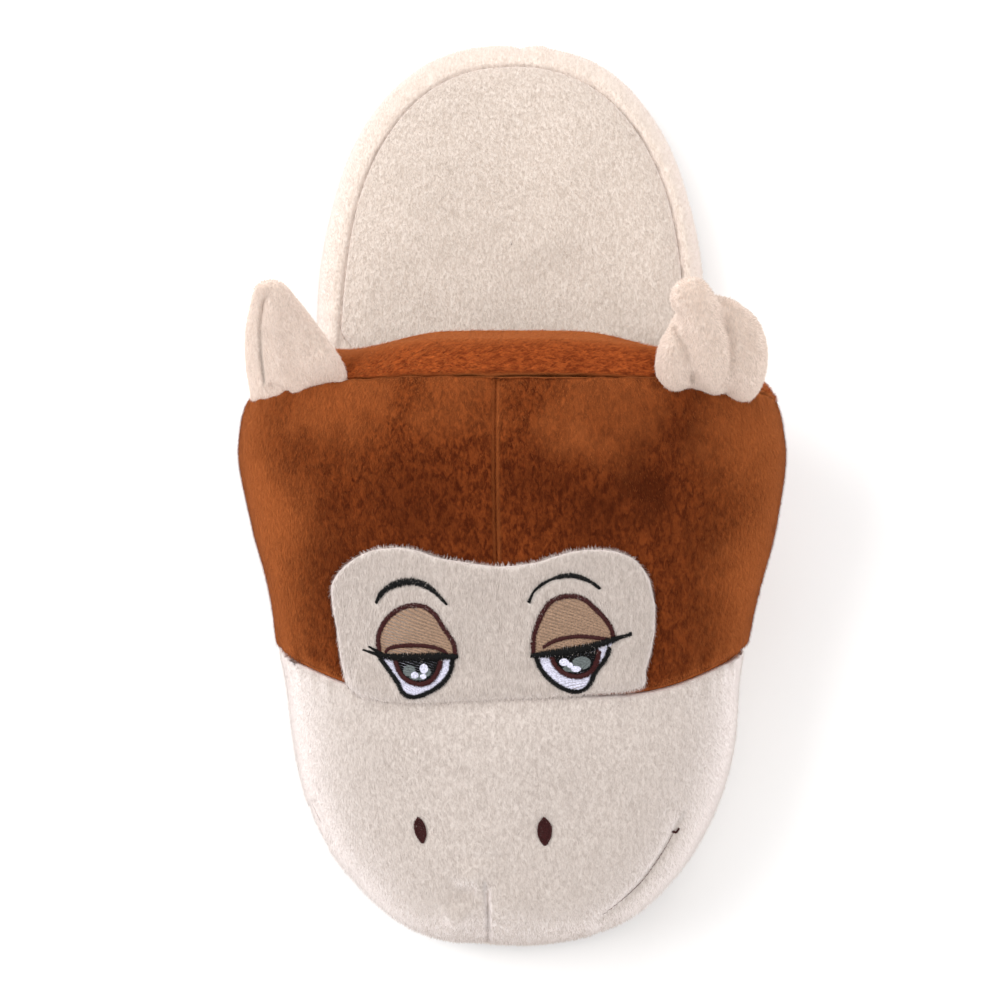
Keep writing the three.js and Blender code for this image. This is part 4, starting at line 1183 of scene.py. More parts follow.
class SLIPPER_OT_stage(bpy.types.Operator):
    """Floor, soft studio light and the camera"""

    bl_idname = "slipper.stage"
    bl_label = "Stage"

    def execute(self, context):
        scene = context.scene
        scene.view_settings.view_transform = "Standard"
        world = bpy.data.worlds.new("Studio")
        world.use_nodes = True
        background = world.node_tree.nodes["Background"].inputs
        background[0].default_value, background[1].default_value = WORLD_COLOUR, WORLD_STRENGTH
        scene.world = world
        mesh = bpy.data.meshes.new("floor")
        corners = [(x * FLOOR_REACH, y * FLOOR_REACH, 0) for x, y in ((-1, -1), (1, -1), (1, 1), (-1, 1))]
        mesh.from_pydata(corners, [], [(0, 1, 2, 3)])
        floor = bpy.data.objects.new("floor", mesh)
        f = Finish("Floor", 0.8)
        f.set("Base Color", f.blend(f.noise(f.place, 3.0), (0.95, 0.95, 0.95), (0.97, 0.97, 0.97)))
        mesh.materials.append(f.material)
        scene.collection.objects.link(floor)
        for name, place, size, power in LAMPS:
            light = bpy.data.lights.new(name, "AREA")
            light.size, light.energy = size, power
            lamp = bpy.data.objects.new(name, light)
            lamp.location = place
            lamp.rotation_mode = "QUATERNION"
            lamp.rotation_quaternion = (-Vector(place)).to_track_quat("-Z", "Y")
            scene.collection.objects.link(lamp)
        camera = bpy.data.objects.new("camera", bpy.data.cameras.new("camera"))
        camera.data.sensor_width, camera.data.lens = SENSOR_WIDTH, LENS
        back, up = CAMERA_DISTANCE * math.cos(CAMERA_ELEVATION), CAMERA_DISTANCE * math.sin(CAMERA_ELEVATION)
        camera.location = (CAMERA_AIM[0], CAMERA_AIM[1] - back, up)
        camera.rotation_euler = (math.pi / 2 - CAMERA_ELEVATION, 0, 0)
        scene.collection.objects.link(camera)
        scene.camera = camera
        return {"FINISHED"}


class SLIPPER_OT_outsole(bpy.types.Operator):
    """Cloth under the sole, with grip dots"""

    bl_idname = "slipper.outsole"
    bl_label = "Outsole"

    def execute(self, context):
        sizes = context.scene.slipper_sizes
        places = even_places(150)
        _, y = outline_point(places, 0)
        tuck = OUTSOLE_TOE_TUCK * smooth((-85 - y) / 30)
        rows = (
            (14, DOT_HEIGHT), (6, DOT_HEIGHT), (OUTSOLE_UNDERCUT + 0.5, DOT_HEIGHT), (0.7, DOT_HEIGHT + 0.35),
            (0.1, DOT_HEIGHT + 0.9), (0, OUTSOLE_THICKNESS * 0.75), (0.15, OUTSOLE_THICKNESS),
            (1.2, OUTSOLE_THICKNESS + 0.15),
        )
        points, faces = capped([sole_ring(places, inset + tuck, height) for inset, height in rows])
        mounted(mesh_piece("outsole_cloth", points, faces, [finish("sole")]), "outsole")
        step = sizes.dot_spacing / MM
        spots = []
        for row, y in enumerate(np.arange(TOE_TIP + 6, HEEL_TIP - 5, step * 0.87)):
            half = float(sole_half_width(y, 6))
            across = np.arange(-half, half, step) + (step / 2 if row % 2 else 0)
            spots += [(x, y, DOT_HEIGHT) for x in across if abs(x) < half]
        holder = bpy.data.meshes.new("dot_spots")
        holder.from_pydata((placed(*np.array(spots).T) * MM).tolist(), [], [])
        dots = dot_tree().run("grip_dots", holder, {
            "Radius": sizes.dot_radius, "Height": DOT_HEIGHT * MM, "Material": finish("dots"),
        })
        mounted(dots, None)
        return {"FINISHED"}


class SLIPPER_OT_side_band(bpy.types.Operator):
    """Plush band round the sole's side"""

    bl_idname = "slipper.side_band"
    bl_label = "Side Band"

    def execute(self, context):
        depth = context.scene.slipper_sizes.seam_depth / MM
        places = even_places(260)
        widest = MIDSOLE_FLOOR + BAND_LEVEL * MIDSOLE_THICKNESS
        rings = []
        _, y = outline_point(places, 0)
        ahead = BAND_TOE_TUCK * smooth((-100 - y) / 30)
        for angle in np.radians(np.concatenate([np.linspace(-90, 0, 12), np.linspace(6, 90, 18)])):
            tuck = BAND_TUCK if angle < 0 else BAND_ROUND - BAND_SETBACK
            reach = widest - MIDSOLE_FLOOR if angle < 0 else MIDSOLE_TOP - widest
            inset = BAND_SETBACK + tuck * (1 - math.cos(angle))
            ring = sole_ring(places, inset + ahead, widest + reach * math.sin(angle))
            rings.append(heel_seam(ring, inset) if angle > 0 else ring)
        y = np.concatenate([y, y[1:-1][::-1]])
        shown = smooth((y - 34) / 10)
        for more, welt in ((1, 1), (1.75, 0.85), (2, 0.3), (6, 0), (12, 0)):
            ring = heel_seam(sole_ring(places, BAND_ROUND + more + ahead, MIDSOLE_TOP), BAND_ROUND)
            ring[:, 2] += welt * shown
            rings.append(ring)
        for ring, welt in zip(rings[-10:-5], (0.1, 0.25, 0.45, 0.7, 0.95)):
            ring[:, 2] += welt * shown
        points, faces = capped(rings)
        walked = np.concatenate([[0], np.cumsum(np.linalg.norm(np.diff(rings[11], axis=0), axis=1))])
        along = np.tile(walked, len(rings))
        above = MIDSOLE_TOP - (points[:, 2] - lift(points[:, 1]))
        below = MIDSOLE_THICKNESS - above
        inside = smooth((HEEL_TIP - 3 - np.abs(points[:, 1])) / 3)
        relief = gathers(along, above, 7.5, 4, 0.16) + gathers(along + 3, below, 5.5, 3.5, 0.2)
        relief += lumps(points, 14, 0.22, 0.4)
        x = points[:, 0]
        back = (points[:, 1] > 100) * smooth((above + 0.5) / 2)
        relief -= (depth * 0.6 * bell(x - HEEL_JOIN, 0.9) + 0.35 * bell(x - HEEL_JOIN, 4)) * back
        relief += 0.6 * bell(x - 8, 3) * smooth((points[:, 2] - 12) / 8) * back
        relief *= np.where(above < 0.01, np.clip(inside, 0.2, 1), 1)
        piece = mesh_piece("side_band", pressed(points, faces, relief), faces, [finish("band")])
        mounted(piece, "midsole")
        grow_pile(piece, "side_band_pile", "band", (0.25, 1, -0.2), 4, 11,
                  kept=lambda p: np.abs(p[:, 0]) > sole_half_width(p[:, 1], 10))
        return {"FINISHED"}


class SLIPPER_OT_footbed(bpy.types.Operator):
    """Padded plush insole"""

    bl_idname = "slipper.footbed"
    bl_label = "Footbed"

    def execute(self, context):
        places = even_places(230)
        turn = COLLAR_SEAM + COLLAR_DEPTH + COLLAR_FLARE + 2 * CLEARANCE

        def inset(more):
            inner = LINING_INSET + INSOLE_EASE
            return lambda y: more + inner + (INSOLE_MARGIN - inner) * smooth((y - turn) / INSOLE_TURN)

        last, edge = FOOTBED_EDGE[-1]
        rows = [(0, 0, share) for share in np.linspace(0.04, 0.96, 14)]
        rows += [(more, height, 1) for more, height in FOOTBED_EDGE]
        for share in np.linspace(0.97, 0.03, 30):
            rows.append((last, edge + (INSOLE_THICKNESS - edge) * (1 - share**3), share))
        points, faces = capped([
            heel_seam(sole_ring(places, inset(more), SEAT + height, share), BAND_ROUND)
            for more, height, share in rows
        ])
        piece = mesh_piece("footbed", points, faces, [finish("warm")])
        stuffed(piece, 0, 0.15, 0.5, 4, levels=0)
        points = coordinates(piece.data)
        points[:, 2] = np.maximum(points[:, 2], SEAT)
        top = smooth((points[:, 2] - SEAT - 1.5) / 2)
        relief = lumps(points, 17, 0.3, 1.7) + lumps(points, 8, 0.12, 0.3)
        relief += folded(points, FOOTBED_FOLDS, FOOTBED_HOLLOWS)
        set_coordinates(piece.data, points + vertex_normals(piece.data) * (relief * top)[:, None])
        mounted(piece, "insole")
        grow_pile(piece, "footbed_pile", "warm", (0.06, -1, 0), 5, 12, kept=lambda p: p[:, 1] > -15)
        return {"FINISHED"}


class SLIPPER_OT_head(bpy.types.Operator):
    """Brown crown, lining and the stuffing between them"""

    bl_idname = "slipper.head"
    bl_label = "Head"

    def execute(self, context):
        depth = context.scene.slipper_sizes.seam_depth / MM
        t = columns((0.482, 0.4975, 46))
        across = len(t)
        seam = row_at(muzzle_seam_y(t))
        crown_rows, hidden_rows, lining_rows = 126, 6, 30
        crown = head_point(np.linspace(0, 1, crown_rows)[:, None] * seam[None, :], t[None, :])
        start = row_at(muzzle_seam_y(t) - PANEL_STEP)
        under = start[None, :] + (1 - start)[None, :] * np.linspace(0, 1, hidden_rows)[:, None]
        recess = head_point(under, t[None, :], PANEL_THICKNESS + CLEARANCE)
        lining = lining_point(np.linspace(0, 1, lining_rows)[:, None] * np.ones(across)[None, :], t[None, :])
        points, faces, outer_faces = shell(np.concatenate([crown, recess]), lining)
        count = crown_rows * across
        p = points[:count]
        share = np.tile(t, crown_rows)
        to_collar = COLLAR_SEAM - p[:, 1]
        to_muzzle = p[:, 1] - muzzle_seam_y(share)
        climbed = 1 - np.abs(2 * share - 1)
        relief = rolled_edge(to_collar, 2.2, depth * 0.55) + rolled_edge(to_muzzle, 3, depth * 0.8)
        relief += gathers(share * 260, to_collar, 6.5, 6, 0.14) + gathers(share * 230, to_muzzle, 8, 6, 0.16)
        relief += trough(p, ((-200, 10.5), (200, 10.5)), 3.5, -0.35, 0)
        top = smooth((climbed - 0.5) / 0.2)
        relief += top * folded(p, CROWN_FOLDS, CROWN_HOLLOWS) + lumps(p, 21, 0.5, 0.9)
        relief += (1 - top) * smooth(climbed / 0.15) * gathers(p[:, 1], np.abs(p[:, 2] - 38), 31, 16, 0.5)
        relief *= smooth(climbed / 0.04)
        moved = np.zeros(len(points))
        moved[:count] = relief
        finish_of = np.zeros(len(faces), int)
        finish_of[outer_faces : outer_faces + (lining_rows - 1) * (across - 1)] = 1
        shaped = pressed(points, faces, moved)
        piece = mesh_piece("head_plush", shaped, faces, [finish("brown"), finish("cream")], finish_of)
        mounted(piece, "upper")
        skin_faces = grid_faces(0, crown_rows, across, flip=True)
        skin = mesh_piece("crown_skin", shaped[:count], skin_faces, [finish("brown")])
        # Seams: path, how wide bare of pile, and the width and strength of their painted shade
        seams = (
            (on_head(CROWN_SEAM), 0.8, 0.95, 1), (head_point(np.zeros(81), np.linspace(0, 1, 81)), 0.5, 0.9, 0.8),
            (muzzle_seam_path(), 0.3, 0.7, 0.5), (on_head(PATCH_EDGE[:-6]), 0, 1.2, 0.5),
        )
        grow_pile(piece, "crown_pile", "brown", (0.02, -1, 0), 7, 13, seams, skin.data, longer=1.3)
        bpy.data.objects.remove(skin)
        return {"FINISHED"}


class SLIPPER_OT_muzzle(bpy.types.Operator):
    """Cream panel over the front of the head"""

    bl_idname = "slipper.muzzle"
    bl_label = "Muzzle"

    def execute(self, context):
        depth = context.scene.slipper_sizes.seam_depth / MM
        t = columns((0.44, 0.482, 50))
        start = row_at(muzzle_seam_y(t) - PANEL_STEP)
        outer_rows, inner_rows = 110, 8

        def rows(number):
            return start[None, :] + (1 - start)[None, :] * np.linspace(0, 1, number)[:, None]

        outer = head_point(rows(outer_rows), t[None, :])
        inner = head_point(rows(inner_rows), t[None, :], PANEL_THICKNESS)
        points, faces, _ = shell(outer, inner)
        count = outer_rows * len(t)
        p = points[:count]
        share = np.tile(t, outer_rows)
        climbed = 1 - np.abs(2 * share - 1)
        to_seam = muzzle_seam_y(share) - PANEL_STEP - p[:, 1]
        high = smooth((p[:, 2] - lift(p[:, 1]) - SEAT - 4) / 8)
        relief = rolled_edge(to_seam, 2.6, depth * 0.6) + MUZZLE_TOE_SWELL * smooth((-118 - p[:, 1]) / 14)
        relief += gathers(share * 230, to_seam, 7, 7, 0.14) * high + lumps(p, 19, 0.42, 2.6) * high
        dart = p[:, 0] - DART_SIDE
        relief -= (1.1 * bell(dart, 0.7) + 0.5 * bell(dart, 3.5)) * smooth((-120 - p[:, 1]) / 5) * high
        relief += folded(p, MUZZLE_FOLDS, MUZZLE_HOLLOWS)
        moved = np.zeros(len(points))
        moved[:count] = relief * smooth(climbed / 0.04)
        shaped = pressed(points, faces, moved)
        piece = mesh_piece("muzzle_plush", shaped, faces, [finish("cream")])
        mounted(piece, "muzzle_panel")
        skin_faces = grid_faces(0, outer_rows, len(t), flip=True)
        skin = mesh_piece("muzzle_skin", shaped[:count], skin_faces, [finish("cream")])
        # Seams: path, how wide bare of pile, and the width and strength of their painted shade
        seams = (
            (muzzle_seam_path(), 0.3, 0.8, 0.22), (on_head(TOE_DART), 0.5, 0.8, 0.45),
            (on_head(SMILES[0][:7]), 0.4, 0.7, 0.3),
        )
        grow_pile(piece, "muzzle_pile", "cream", (0.02, -1, -0.1), 6, 14, seams, skin.data, NOSTRILS)
        bpy.data.objects.remove(skin)
        return {"FINISHED"}


class SLIPPER_OT_face_patch(bpy.types.Operator):
    """Cream patch that carries the eyes"""

    bl_idname = "slipper.face_patch"
    bl_label = "Face Patch"

    def execute(self, context):
        outline = resampled(PATCH_EDGE, 1.1, closed=True)
        middle = np.array((FACE_SHIFT, -53.0))
        shares = np.concatenate([np.linspace(1, 0.9, 9), np.linspace(0.87, 0.03, 36)])
        radius = np.linalg.norm(outline - middle, axis=1)
        rings = []
        for share in shares:
            flat = middle + (outline - middle) * share
            inside = (1 - share) * radius
            roll = 1.5 + 4.5 * smooth((-60 - outline[:, 1]) / 8)
            a = 1 - np.clip(inside / roll, 0, 1)
            low = 0.2 - 0.7 * smooth((-61 - outline[:, 1]) / 6)
            top = low + (PATCH_TOP - low) * np.sqrt(np.maximum(0, 1 - a * a))
            rings.append(crown_point(flat[:, 0], flat[:, 1], top))
        count = len(outline)
        under = [crown_point(*(middle + (outline - middle) * share).T, np.minimum(0.1, low - 0.1))
                 for share in (1, 0.75, 0.5, 0.25)]
        points = np.vstack(rings + under + [crown_point(middle[:1], middle[1:], np.array([PATCH_TOP])),
                                          crown_point(middle[:1], middle[1:], np.array([0.1]))])
        total = len(rings) + len(under)
        last, next_ring = (len(rings) - 1) * count, np.arange(1, count + 1) % count
        here = np.arange(count)
        pole, under_pole = total * count, total * count + 1

        def tipped(ring, tip):
            return np.stack([*ring, np.full(count, tip), np.full(count, tip)], -1)

        faces = np.vstack([
            grid_faces(0, len(rings), count, closed=True), tipped((last + here, last + next_ring), pole),
            grid_faces(len(rings) * count, len(under), count, closed=True, flip=True),
            tipped(((total - 1) * count + next_ring, (total - 1) * count + here), under_pole),
            np.stack([next_ring, here, len(rings) * count + here, len(rings) * count + next_ring], -1),
        ])
        if normals_of(points, faces)[pole, 2] < 0:
            faces = faces[:, ::-1]
        upper = np.arange(len(points)) < len(rings) * count
        inner = smooth(np.linalg.norm(points[:, None, :2] - outline[None, ::6], axis=2).min(1) / 4)
        relief = (lumps(points, 15, 0.16, 3.1) + folded(points, PATCH_FOLDS, PATCH_HOLLOWS)) * upper * inner
        piece = mesh_piece("face_patch_plush", pressed(points, faces, relief), faces, [finish("cream")])
        mounted(piece, "face_patch")
        sewn = [eye["lid"] for eye in EYES] + [eye["white"] for eye in EYES]
        lines = [path for eye in EYES for path in (eye["brow"], eye["lid"], eye["white"], *eye["wings"])]
        seams = [(on_head(path, PATCH_TOP), 0.9, 1, 0) for path in lines]
        grow_pile(piece, "face_patch_pile", "cream", (0.02, -1, 0), 9, 15, seams, sewn=sewn,
                  longer=1.4)
        return {"FINISHED"}


class SLIPPER_OT_collar(bpy.types.Operator):
    """Facing that closes the stuffing round the opening"""

    bl_idname = "slipper.collar"
    bl_label = "Collar"

    def execute(self, context):
        depth = context.scene.slipper_sizes.seam_depth / MM
        t = columns()
        around = len(t)
        facing_rows, lip_rows, inner_rows = 26, 13, 9
        front = COLLAR_SEAM + SEAM_GAP
        climbed = 1 - np.abs(2 * t - 1)
        seam = head_point(np.zeros(around), t)
        lining = lining_point(np.zeros(around), t)
        seam[:, 1] = lining[:, 1] = front
        out = seam - lining
        out /= np.linalg.norm(out, axis=1, keepdims=True)
        lip_back = front + COLLAR_DEPTH + COLLAR_FLARE * (1 - climbed) ** FLARE_POWER
        lip_back = lip_back + 1.5 * smooth(2 * climbed - 1)
        lip_back = lip_back - 3.5 * smooth((np.abs(lining[:, 0]) - 18) / 30) * smooth(3 * climbed - 1)
        inner = lining - out * (LIP_DROP * smooth(3 * climbed))[:, None]
        inner[:, 1] = lip_back - LIP_THICKNESS / 2
        outer = inner + out * LIP_THICKNESS
        profile = []
        for share in np.linspace(0, 1, facing_rows):
            puff = COLLAR_PUFF * math.sin(math.pi * share) * smooth(2 * climbed)
            puff = puff + rolled_edge(share * COLLAR_DEPTH, 2.2, depth * 0.55)
            point = seam + (outer - seam) * share + out * puff[:, None]
            point[:, 1] += np.maximum(puff, 0) * smooth(4 * share)
            profile.append(point)
        middle = (inner + outer) / 2
        for angle in np.radians(np.linspace(12, 180, lip_rows)):
            point = middle + out * (LIP_THICKNESS / 2 * math.cos(angle))
            point[:, 1] += LIP_THICKNESS / 2 * math.sin(angle)
            profile.append(point)
        for share in np.linspace(0.85, 0, inner_rows):
            profile.append(lining + (inner - lining) * share)
        rows = np.stack(profile, 1)
        first, last = facing_rows - 9, facing_rows + lip_rows - 1
        for _ in range(30):
            bend = rows[:, first - 1 : last - 1] + rows[:, first + 1 : last + 1] - 2 * rows[:, first:last]
            rows[:, first:last] += 0.4 * bend
        rows[..., 2] = np.maximum(rows[..., 2], SEAT)
        count = rows.shape[1]
        points = rows.reshape(-1, 3)
        faces = np.vstack([
            grid_faces(0, around, count, closed=True, flip=True), fan(np.arange(count)),
            fan(np.arange(count) + (around - 1) * count, flip=True),
        ])
        share = np.concatenate([np.linspace(0, 1, facing_rows), np.ones(lip_rows), np.zeros(inner_rows)])
        shown = np.tile(np.arange(count) < facing_rows + 4, around)
        relief = gathers(np.repeat(t, count) * 250, np.tile(share, around) * COLLAR_DEPTH, 6, 4, 0.18)
        relief += lumps(points, 12, 0.25, 5) + folded(points, COLLAR_FOLDS)
        relief *= shown * smooth(np.repeat(climbed, count) / 0.08)
        piece = mesh_piece("collar_facing", pressed(points, faces, relief), faces, [finish("brown_across_lit")])
        mounted(piece, "collar_band")
        edge = head_point(np.zeros(81), np.linspace(0, 1, 81))
        grow_pile(piece, "collar_pile", "brown_across_lit", (1, 0.25, 0), 7, 16, ((edge, 0.4, 0.8, 0.7),),
                  kept=lambda p: p[:, 1] > front + 0.3, longer=1.3)
        return {"FINISHED"}


class SLIPPER_OT_ears(bpy.types.Operator):
    """Stuffed ears, one upright and one curled"""

    bl_idname = "slipper.ears"
    bl_label = "Ears"

    def execute(self, context):
        self.upright()
        self.curled()
        return {"FINISHED"}

    def foot(self, side):
        return crown_point(np.array([FACE_SHIFT + side * EAR_SPREAD]), np.array([COLLAR_SEAM]), np.zeros(1))[0]

    def dressed(self, piece, node, folds, uneven, nap, seed, seam):
        """Folds the stuffed ear's plush and grows its pile."""
        p = coordinates(piece.data)
        relief = folded(p, folds) + lumps(p, *uneven)
        set_coordinates(piece.data, p + vertex_normals(piece.data) * relief[:, None])
        mounted(piece, node)
        grow_pile(piece, piece.name + "_pile", "ear", nap, 7, seed, (seam,))

    def upright(self):
        side, foot = -1, self.foot(-1)
        slant = math.radians(EAR_SLANT)
        depth_way = np.array((0, math.cos(slant), -math.sin(slant)))
        angles = np.linspace(0, 2 * math.pi, 72, endpoint=False)
        rings = []
        ends = np.concatenate([np.linspace(0, 0.93, 34), 1 - 0.07 * np.array([0.75, 0.5, 0.3, 0.15, 0.05, 0])])
        for at in ends:
            lean, out, rise, wide, thick, turn = (float(through(EAR_SECTIONS, c, at)) for c in range(1, 7))
            close = math.sqrt(max(0.0, 1 - max(0.0, (at - 0.93) / 0.07) ** 2)) * 0.9 + 0.1
            centre = foot + EAR_LENGTH * np.array((side * out, lean, rise))
            angle = math.radians(turn)
            width_way = np.array((math.cos(angle), 0, -side * math.sin(angle)))
            cup = 2 * EAR_CUP * np.maximum(0, -np.sin(angles)) ** 2
            ring = centre + np.outer(0.5 * EAR_WIDTH * wide * close * np.cos(angles), width_way)
            ring += np.outer(0.5 * EAR_THICKNESS * thick * close * (np.sin(angles) + cup), depth_way)
            rings.append(ring)
        count = len(angles)
        faces = np.vstack([
            grid_faces(0, len(rings), count, closed=True), fan(np.arange(count), flip=True),
            fan(np.arange(count) + (len(rings) - 1) * count),
        ])
        piece = mesh_piece("upright_ear", np.vstack(rings), faces, [finish("ear")])
        stuffed(piece, 1.1, 0.3, 0.7, 4)
        p = coordinates(piece.data)
        corner = smooth((p[:, 0] + 62) / 12) * smooth((101 - p[:, 2]) / 14)
        p[:, :2] += corner[:, None] * UPRIGHT_CORNER
        set_coordinates(piece.data, p)
        self.dressed(piece, "ear_upright", UPRIGHT_FOLDS, (9, 0.18, 1.1), (0.1, -0.6, -1), 17,
                     (UPRIGHT_SEAM, 0.3, 0.5, 0.8))

    def curled(self):
        side, foot = 1, self.foot(1)
        form = bmesh.new()
        for across, back, up, wide, deep, long, pitch, tilt in CURL_ROLLS:
            made = bmesh.ops.create_uvsphere(form, u_segments=48, v_segments=32, radius=CURL_LENGTH)["verts"]
            p = np.array([v.co for v in made])[:, [0, 2, 1]] * (1, 1, -1) * (wide, long, deep)
            turn, lean = math.radians(-side * tilt), math.radians(pitch)
            x = p[:, 0] * math.cos(turn) - p[:, 1] * math.sin(turn)
            y = p[:, 0] * math.sin(turn) + p[:, 1] * math.cos(turn)
            y, z = y * math.cos(lean) - p[:, 2] * math.sin(lean), y * math.sin(lean) + p[:, 2] * math.cos(lean)
            roll = np.column_stack([x, y, z]) + foot + CURL_LENGTH * np.array((side * across, back, up))
            for vertex, place in zip(made, roll * MM):
                vertex.co = place
        mesh = bpy.data.meshes.new("curled_ear")
        form.to_mesh(mesh)
        form.free()
        mesh.materials.append(finish("ear"))
        piece = bpy.data.objects.new("curled_ear", mesh)
        bpy.context.scene.collection.objects.link(piece)
        stuffed(piece, 1.1, 0.3, 0.7, 4)
        self.dressed(piece, "ear_curled", CURL_FOLDS, (8, 0.22, 2.2), (0.1, -0.4, -1), 18, (CURL_FOLD, 0, 0.8, 0.15))


class SLIPPER_OT_embroidery(bpy.types.Operator):
    """Eyes, brows, nostrils and mouth, sewn in satin stitch"""

    bl_idname = "slipper.embroidery"
    bl_label = "Embroidery"

    def execute(self, context):
        self.thread = context.scene.slipper_sizes.thread_width / MM
        self.random = np.random.default_rng(7)
        self.ground = []
        for name in ("face_patch_plush", "muzzle_plush", "head_plush"):
            mesh = bpy.data.objects[name].data
            places, faces = [v.co for v in mesh.vertices], [p.vertices for p in mesh.polygons]
            self.ground.append(BVHTree.FromPolygons(places, faces))
        self.sewn = {key: [] for key in ("black", "maroon", "lid", "white", "painted_grey_glint", "smile")}
        for eye, lean in ((LEFT_EYE, 0.0), (RIGHT_EYE, 0.06)):
            self.eye(eye, lean)
        for ring in NOSTRILS:
            self.fill("maroon", ring, 0.02, 1.9, 0.35)
            self.line("maroon", tuple(ring) + (ring[0],), (0.5,) * (len(ring) + 1), 0.5)
        self.line("smile", SMILES[0][2:-1], (0.3,) * 6, 0.05, along=True)
        self.line("smile", SMILES[1][1:3], (0.25,) * 2, 0.0, along=True)
        self.line("maroon", ((46.4, -105.6), (45.6, -106.6), (44.5, -106.4)), (0.5,) * 3, 0.4)
        tree = stitch_tree()
        for key, label in (("lid", "eyelids"), ("white", "eye_whites"), ("maroon", "maroon_embroidery"),
                           ("painted_grey_glint", "eye_shine"), ("black", "black_embroidery"), ("smile", "mouth_line")):
            self.sew(tree, label, key)
        return {"FINISHED"}

    def eye(self, eye, lean):
        lash, lid, white = (resampled(eye[part], 0.6) for part in ("lash", "lid", "white"))
        iris, back = resampled(eye["iris"], 0.4), lash[::-1]
        over_iris = back[(back[:, 0] > iris[:, 0].min()) & (back[:, 0] < iris[:, 0].max())]
        self.fill("lid", np.vstack([lid, back]), lean, 2.6, 0.25)
        self.fill("white", np.vstack([white, back]), lean - 0.25, 2.0, 0.25)
        self.fill("black", np.vstack([iris, over_iris]), lean, 2.2, 0.45)
        # Painted reflections on the iris: ovals of grey thread, then of white thread
        for (x, y), wide, tall in eye["painted_grey_glint"]:
            self.fill("painted_grey_glint", self.oval(x, y, wide, tall), 0.3, 1.6, 0.62)
        for (x, y), wide, tall in eye["glint"]:
            self.fill("white", self.oval(x, y, wide, tall), 1.3, 1.3, 0.75)
        self.line("maroon", eye["iris"], (1.4,) * len(eye["iris"]), 0.65)
        self.line("maroon", eye["crease"], (0.7,) + (1.1,) * (len(eye["crease"]) - 2) + (0.7,), 0.5)
        self.line("maroon", eye["lid"], (1.35,) * len(eye["lid"]), 0.5)
        self.line("black", eye["white"], (1.35,) * len(eye["white"]), 0.6)
        self.line("black", eye["lash"], eye["lash_width"], 0.75)
        for wing in eye["wings"]:
            self.line("black", wing, (0.35, 1.1), 0.65)
        self.line("black", eye["brow"], eye["brow_width"], 0.6)

    def oval(self, x, y, wide, tall):
        angle = np.linspace(0, 2 * math.pi, 20, endpoint=False)
        return np.column_stack([x + wide * np.cos(angle), y + tall * np.sin(angle)])

    def line(self, key, path, widths, height, along=False):
        """Stitches across a line, as long as it is wide there, or one after another along it."""
        step = 1.7 if along else self.thread * 0.7
        track = resampled(path, step)
        ahead = np.gradient(track, axis=0)
        ahead /= np.linalg.norm(ahead, axis=1, keepdims=True)
        walked = np.linspace(0, 1, len(widths))
        wide = np.interp(np.linspace(0, 1, len(track)), walked, widths)
        for (x, y), way, width in zip(track, ahead, wide):
            if along:
                self.stitch(key, x, y, way, 2.1, height, width)
                continue
            cross = np.array((-way[1], way[0])) + way * (0.25 + 0.1 * self.random.normal())
            long = max(width, self.thread) * (1 + 0.12 * self.random.normal()) + 0.3
            self.stitch(key, x, y, cross / np.linalg.norm(cross), long, height)

    def fill(self, key, ring, turn, length, height):
        """Rows of stitches inside an outline, broken like bricks."""
        ring = np.array(ring, float)
        way, cross = np.array((math.cos(turn), math.sin(turn))), np.array((-math.sin(turn), math.cos(turn)))
        u, v = ring @ way, ring @ cross
        u2, v2 = np.roll(u, -1), np.roll(v, -1)
        for row, level in enumerate(np.arange(v.min() + 0.1, v.max(), self.thread * 0.72)):
            crossing = (v <= level) != (v2 <= level)
            cuts = np.sort((u + (u2 - u) * (level - v) / np.where(v2 == v, 1, v2 - v))[crossing])
            for a, b in zip(cuts[::2], cuts[1::2]):
                at = a - length * ((row * 0.37) % 1)
                while at < b:
                    start, end = max(a, at), min(b, at + length)
                    if end - start > 0.15:
                        x, y = way * (start + end) / 2 + cross * level
                        self.stitch(key, x, y, way, end - start + 0.3, height)
                    at += length

    def stitch(self, key, x, y, way, length, height, width=None):
        from_above = Vector((x * MM, y * MM, 0.2))
        for tree in self.ground:
            spot, normal, _, _ = tree.ray_cast(from_above, Vector((0, 0, -1)))
            if spot is not None:
                break
        if spot is None:
            return
        normal = np.array(normal)
        along = np.array((way[0], way[1], 0.0))
        along -= normal * (along @ normal)
        size = np.array((length, width or self.thread, (width or self.thread) * 0.8)) * MM
        self.sewn[key].append((np.array(spot) + normal * height * MM, along, normal, size))

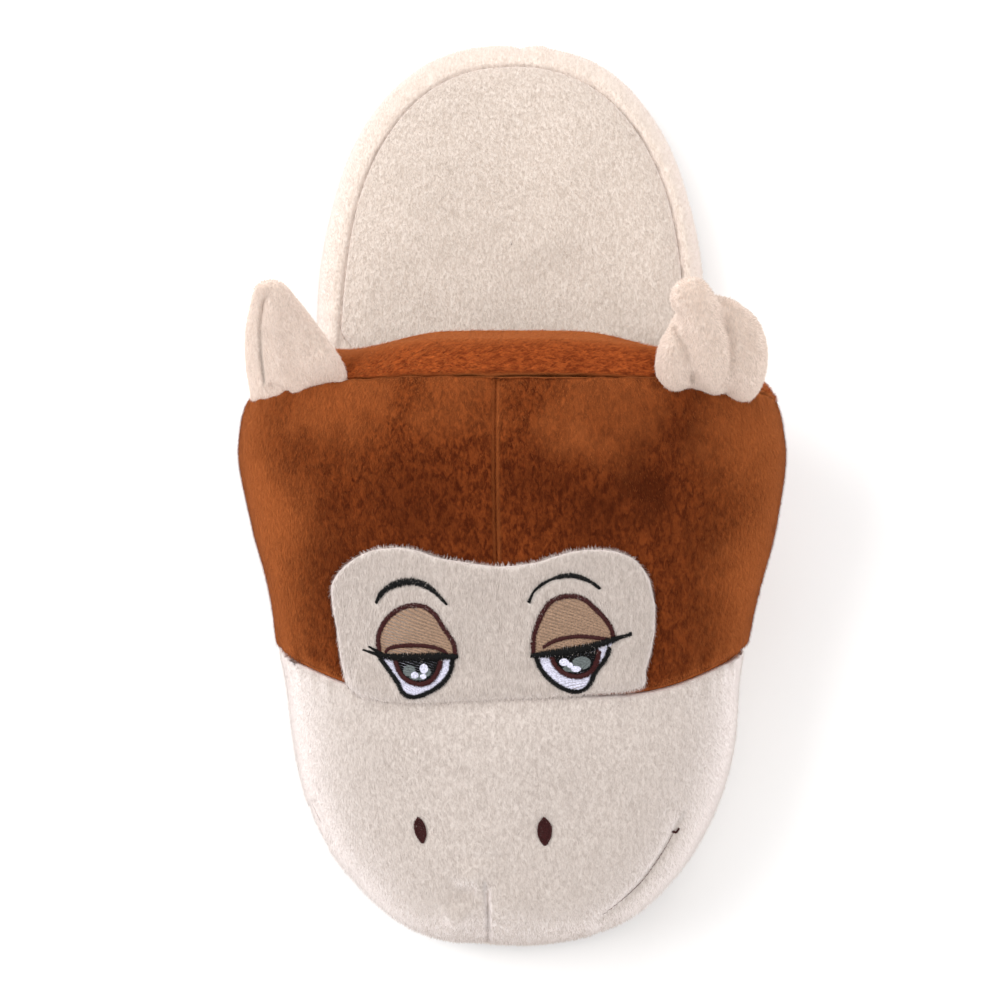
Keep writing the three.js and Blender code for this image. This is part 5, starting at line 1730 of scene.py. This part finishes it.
    def sew(self, tree, label, key):
        spots = [np.array(column) for column in zip(*self.sewn[key])]
        mesh = bpy.data.meshes.new(label)
        mesh.from_pydata(spots[0].tolist(), [], [])
        for name, values in zip(("along", "facing", "size"), spots[1:]):
            held = mesh.attributes.new(name, "FLOAT_VECTOR", "POINT").data
            held.foreach_set("vector", values.astype(np.float32).ravel())
        piece = tree.run(label, mesh, {"Material": finish(key)})
        mounted(piece, None)


class SLIPPER_PT_panel(bpy.types.Panel):
    """The slipper's makers, colours and sizes"""

    bl_label = "Animal Slipper"
    bl_space_type = "VIEW_3D"
    bl_region_type = "UI"
    bl_category = "Slipper"

    def draw(self, context):
        for group in (context.scene.slipper_sizes, context.scene.slipper_colours):
            for name in group.__annotations__:
                self.layout.prop(group, name)
        for operator in OPERATORS:
            self.layout.operator(operator.bl_idname)


OPERATORS = (
    SLIPPER_OT_stage, SLIPPER_OT_outsole, SLIPPER_OT_side_band, SLIPPER_OT_footbed, SLIPPER_OT_head,
    SLIPPER_OT_muzzle, SLIPPER_OT_face_patch, SLIPPER_OT_collar, SLIPPER_OT_ears, SLIPPER_OT_embroidery,
)
CLASSES = (SlipperSizes, SlipperColours, *OPERATORS, SLIPPER_PT_panel)
PILE = None


def register():
    for cls in CLASSES:
        bpy.utils.register_class(cls)
    bpy.types.Scene.slipper_sizes = bpy.props.PointerProperty(type=SlipperSizes)
    bpy.types.Scene.slipper_colours = bpy.props.PointerProperty(type=SlipperColours)


def unregister():
    del bpy.types.Scene.slipper_colours
    del bpy.types.Scene.slipper_sizes
    for cls in reversed(CLASSES):
        bpy.utils.unregister_class(cls)


def main():
    global PILE
    register()
    PILE = pile_tree()
    bpy.ops.slipper.stage()
    bpy.ops.slipper.outsole()
    bpy.ops.slipper.side_band()
    bpy.ops.slipper.footbed()
    bpy.ops.slipper.head()
    bpy.ops.slipper.muzzle()
    bpy.ops.slipper.face_patch()
    bpy.ops.slipper.collar()
    bpy.ops.slipper.ears()
    bpy.ops.slipper.embroidery()


if __name__ == "__main__":
    main()
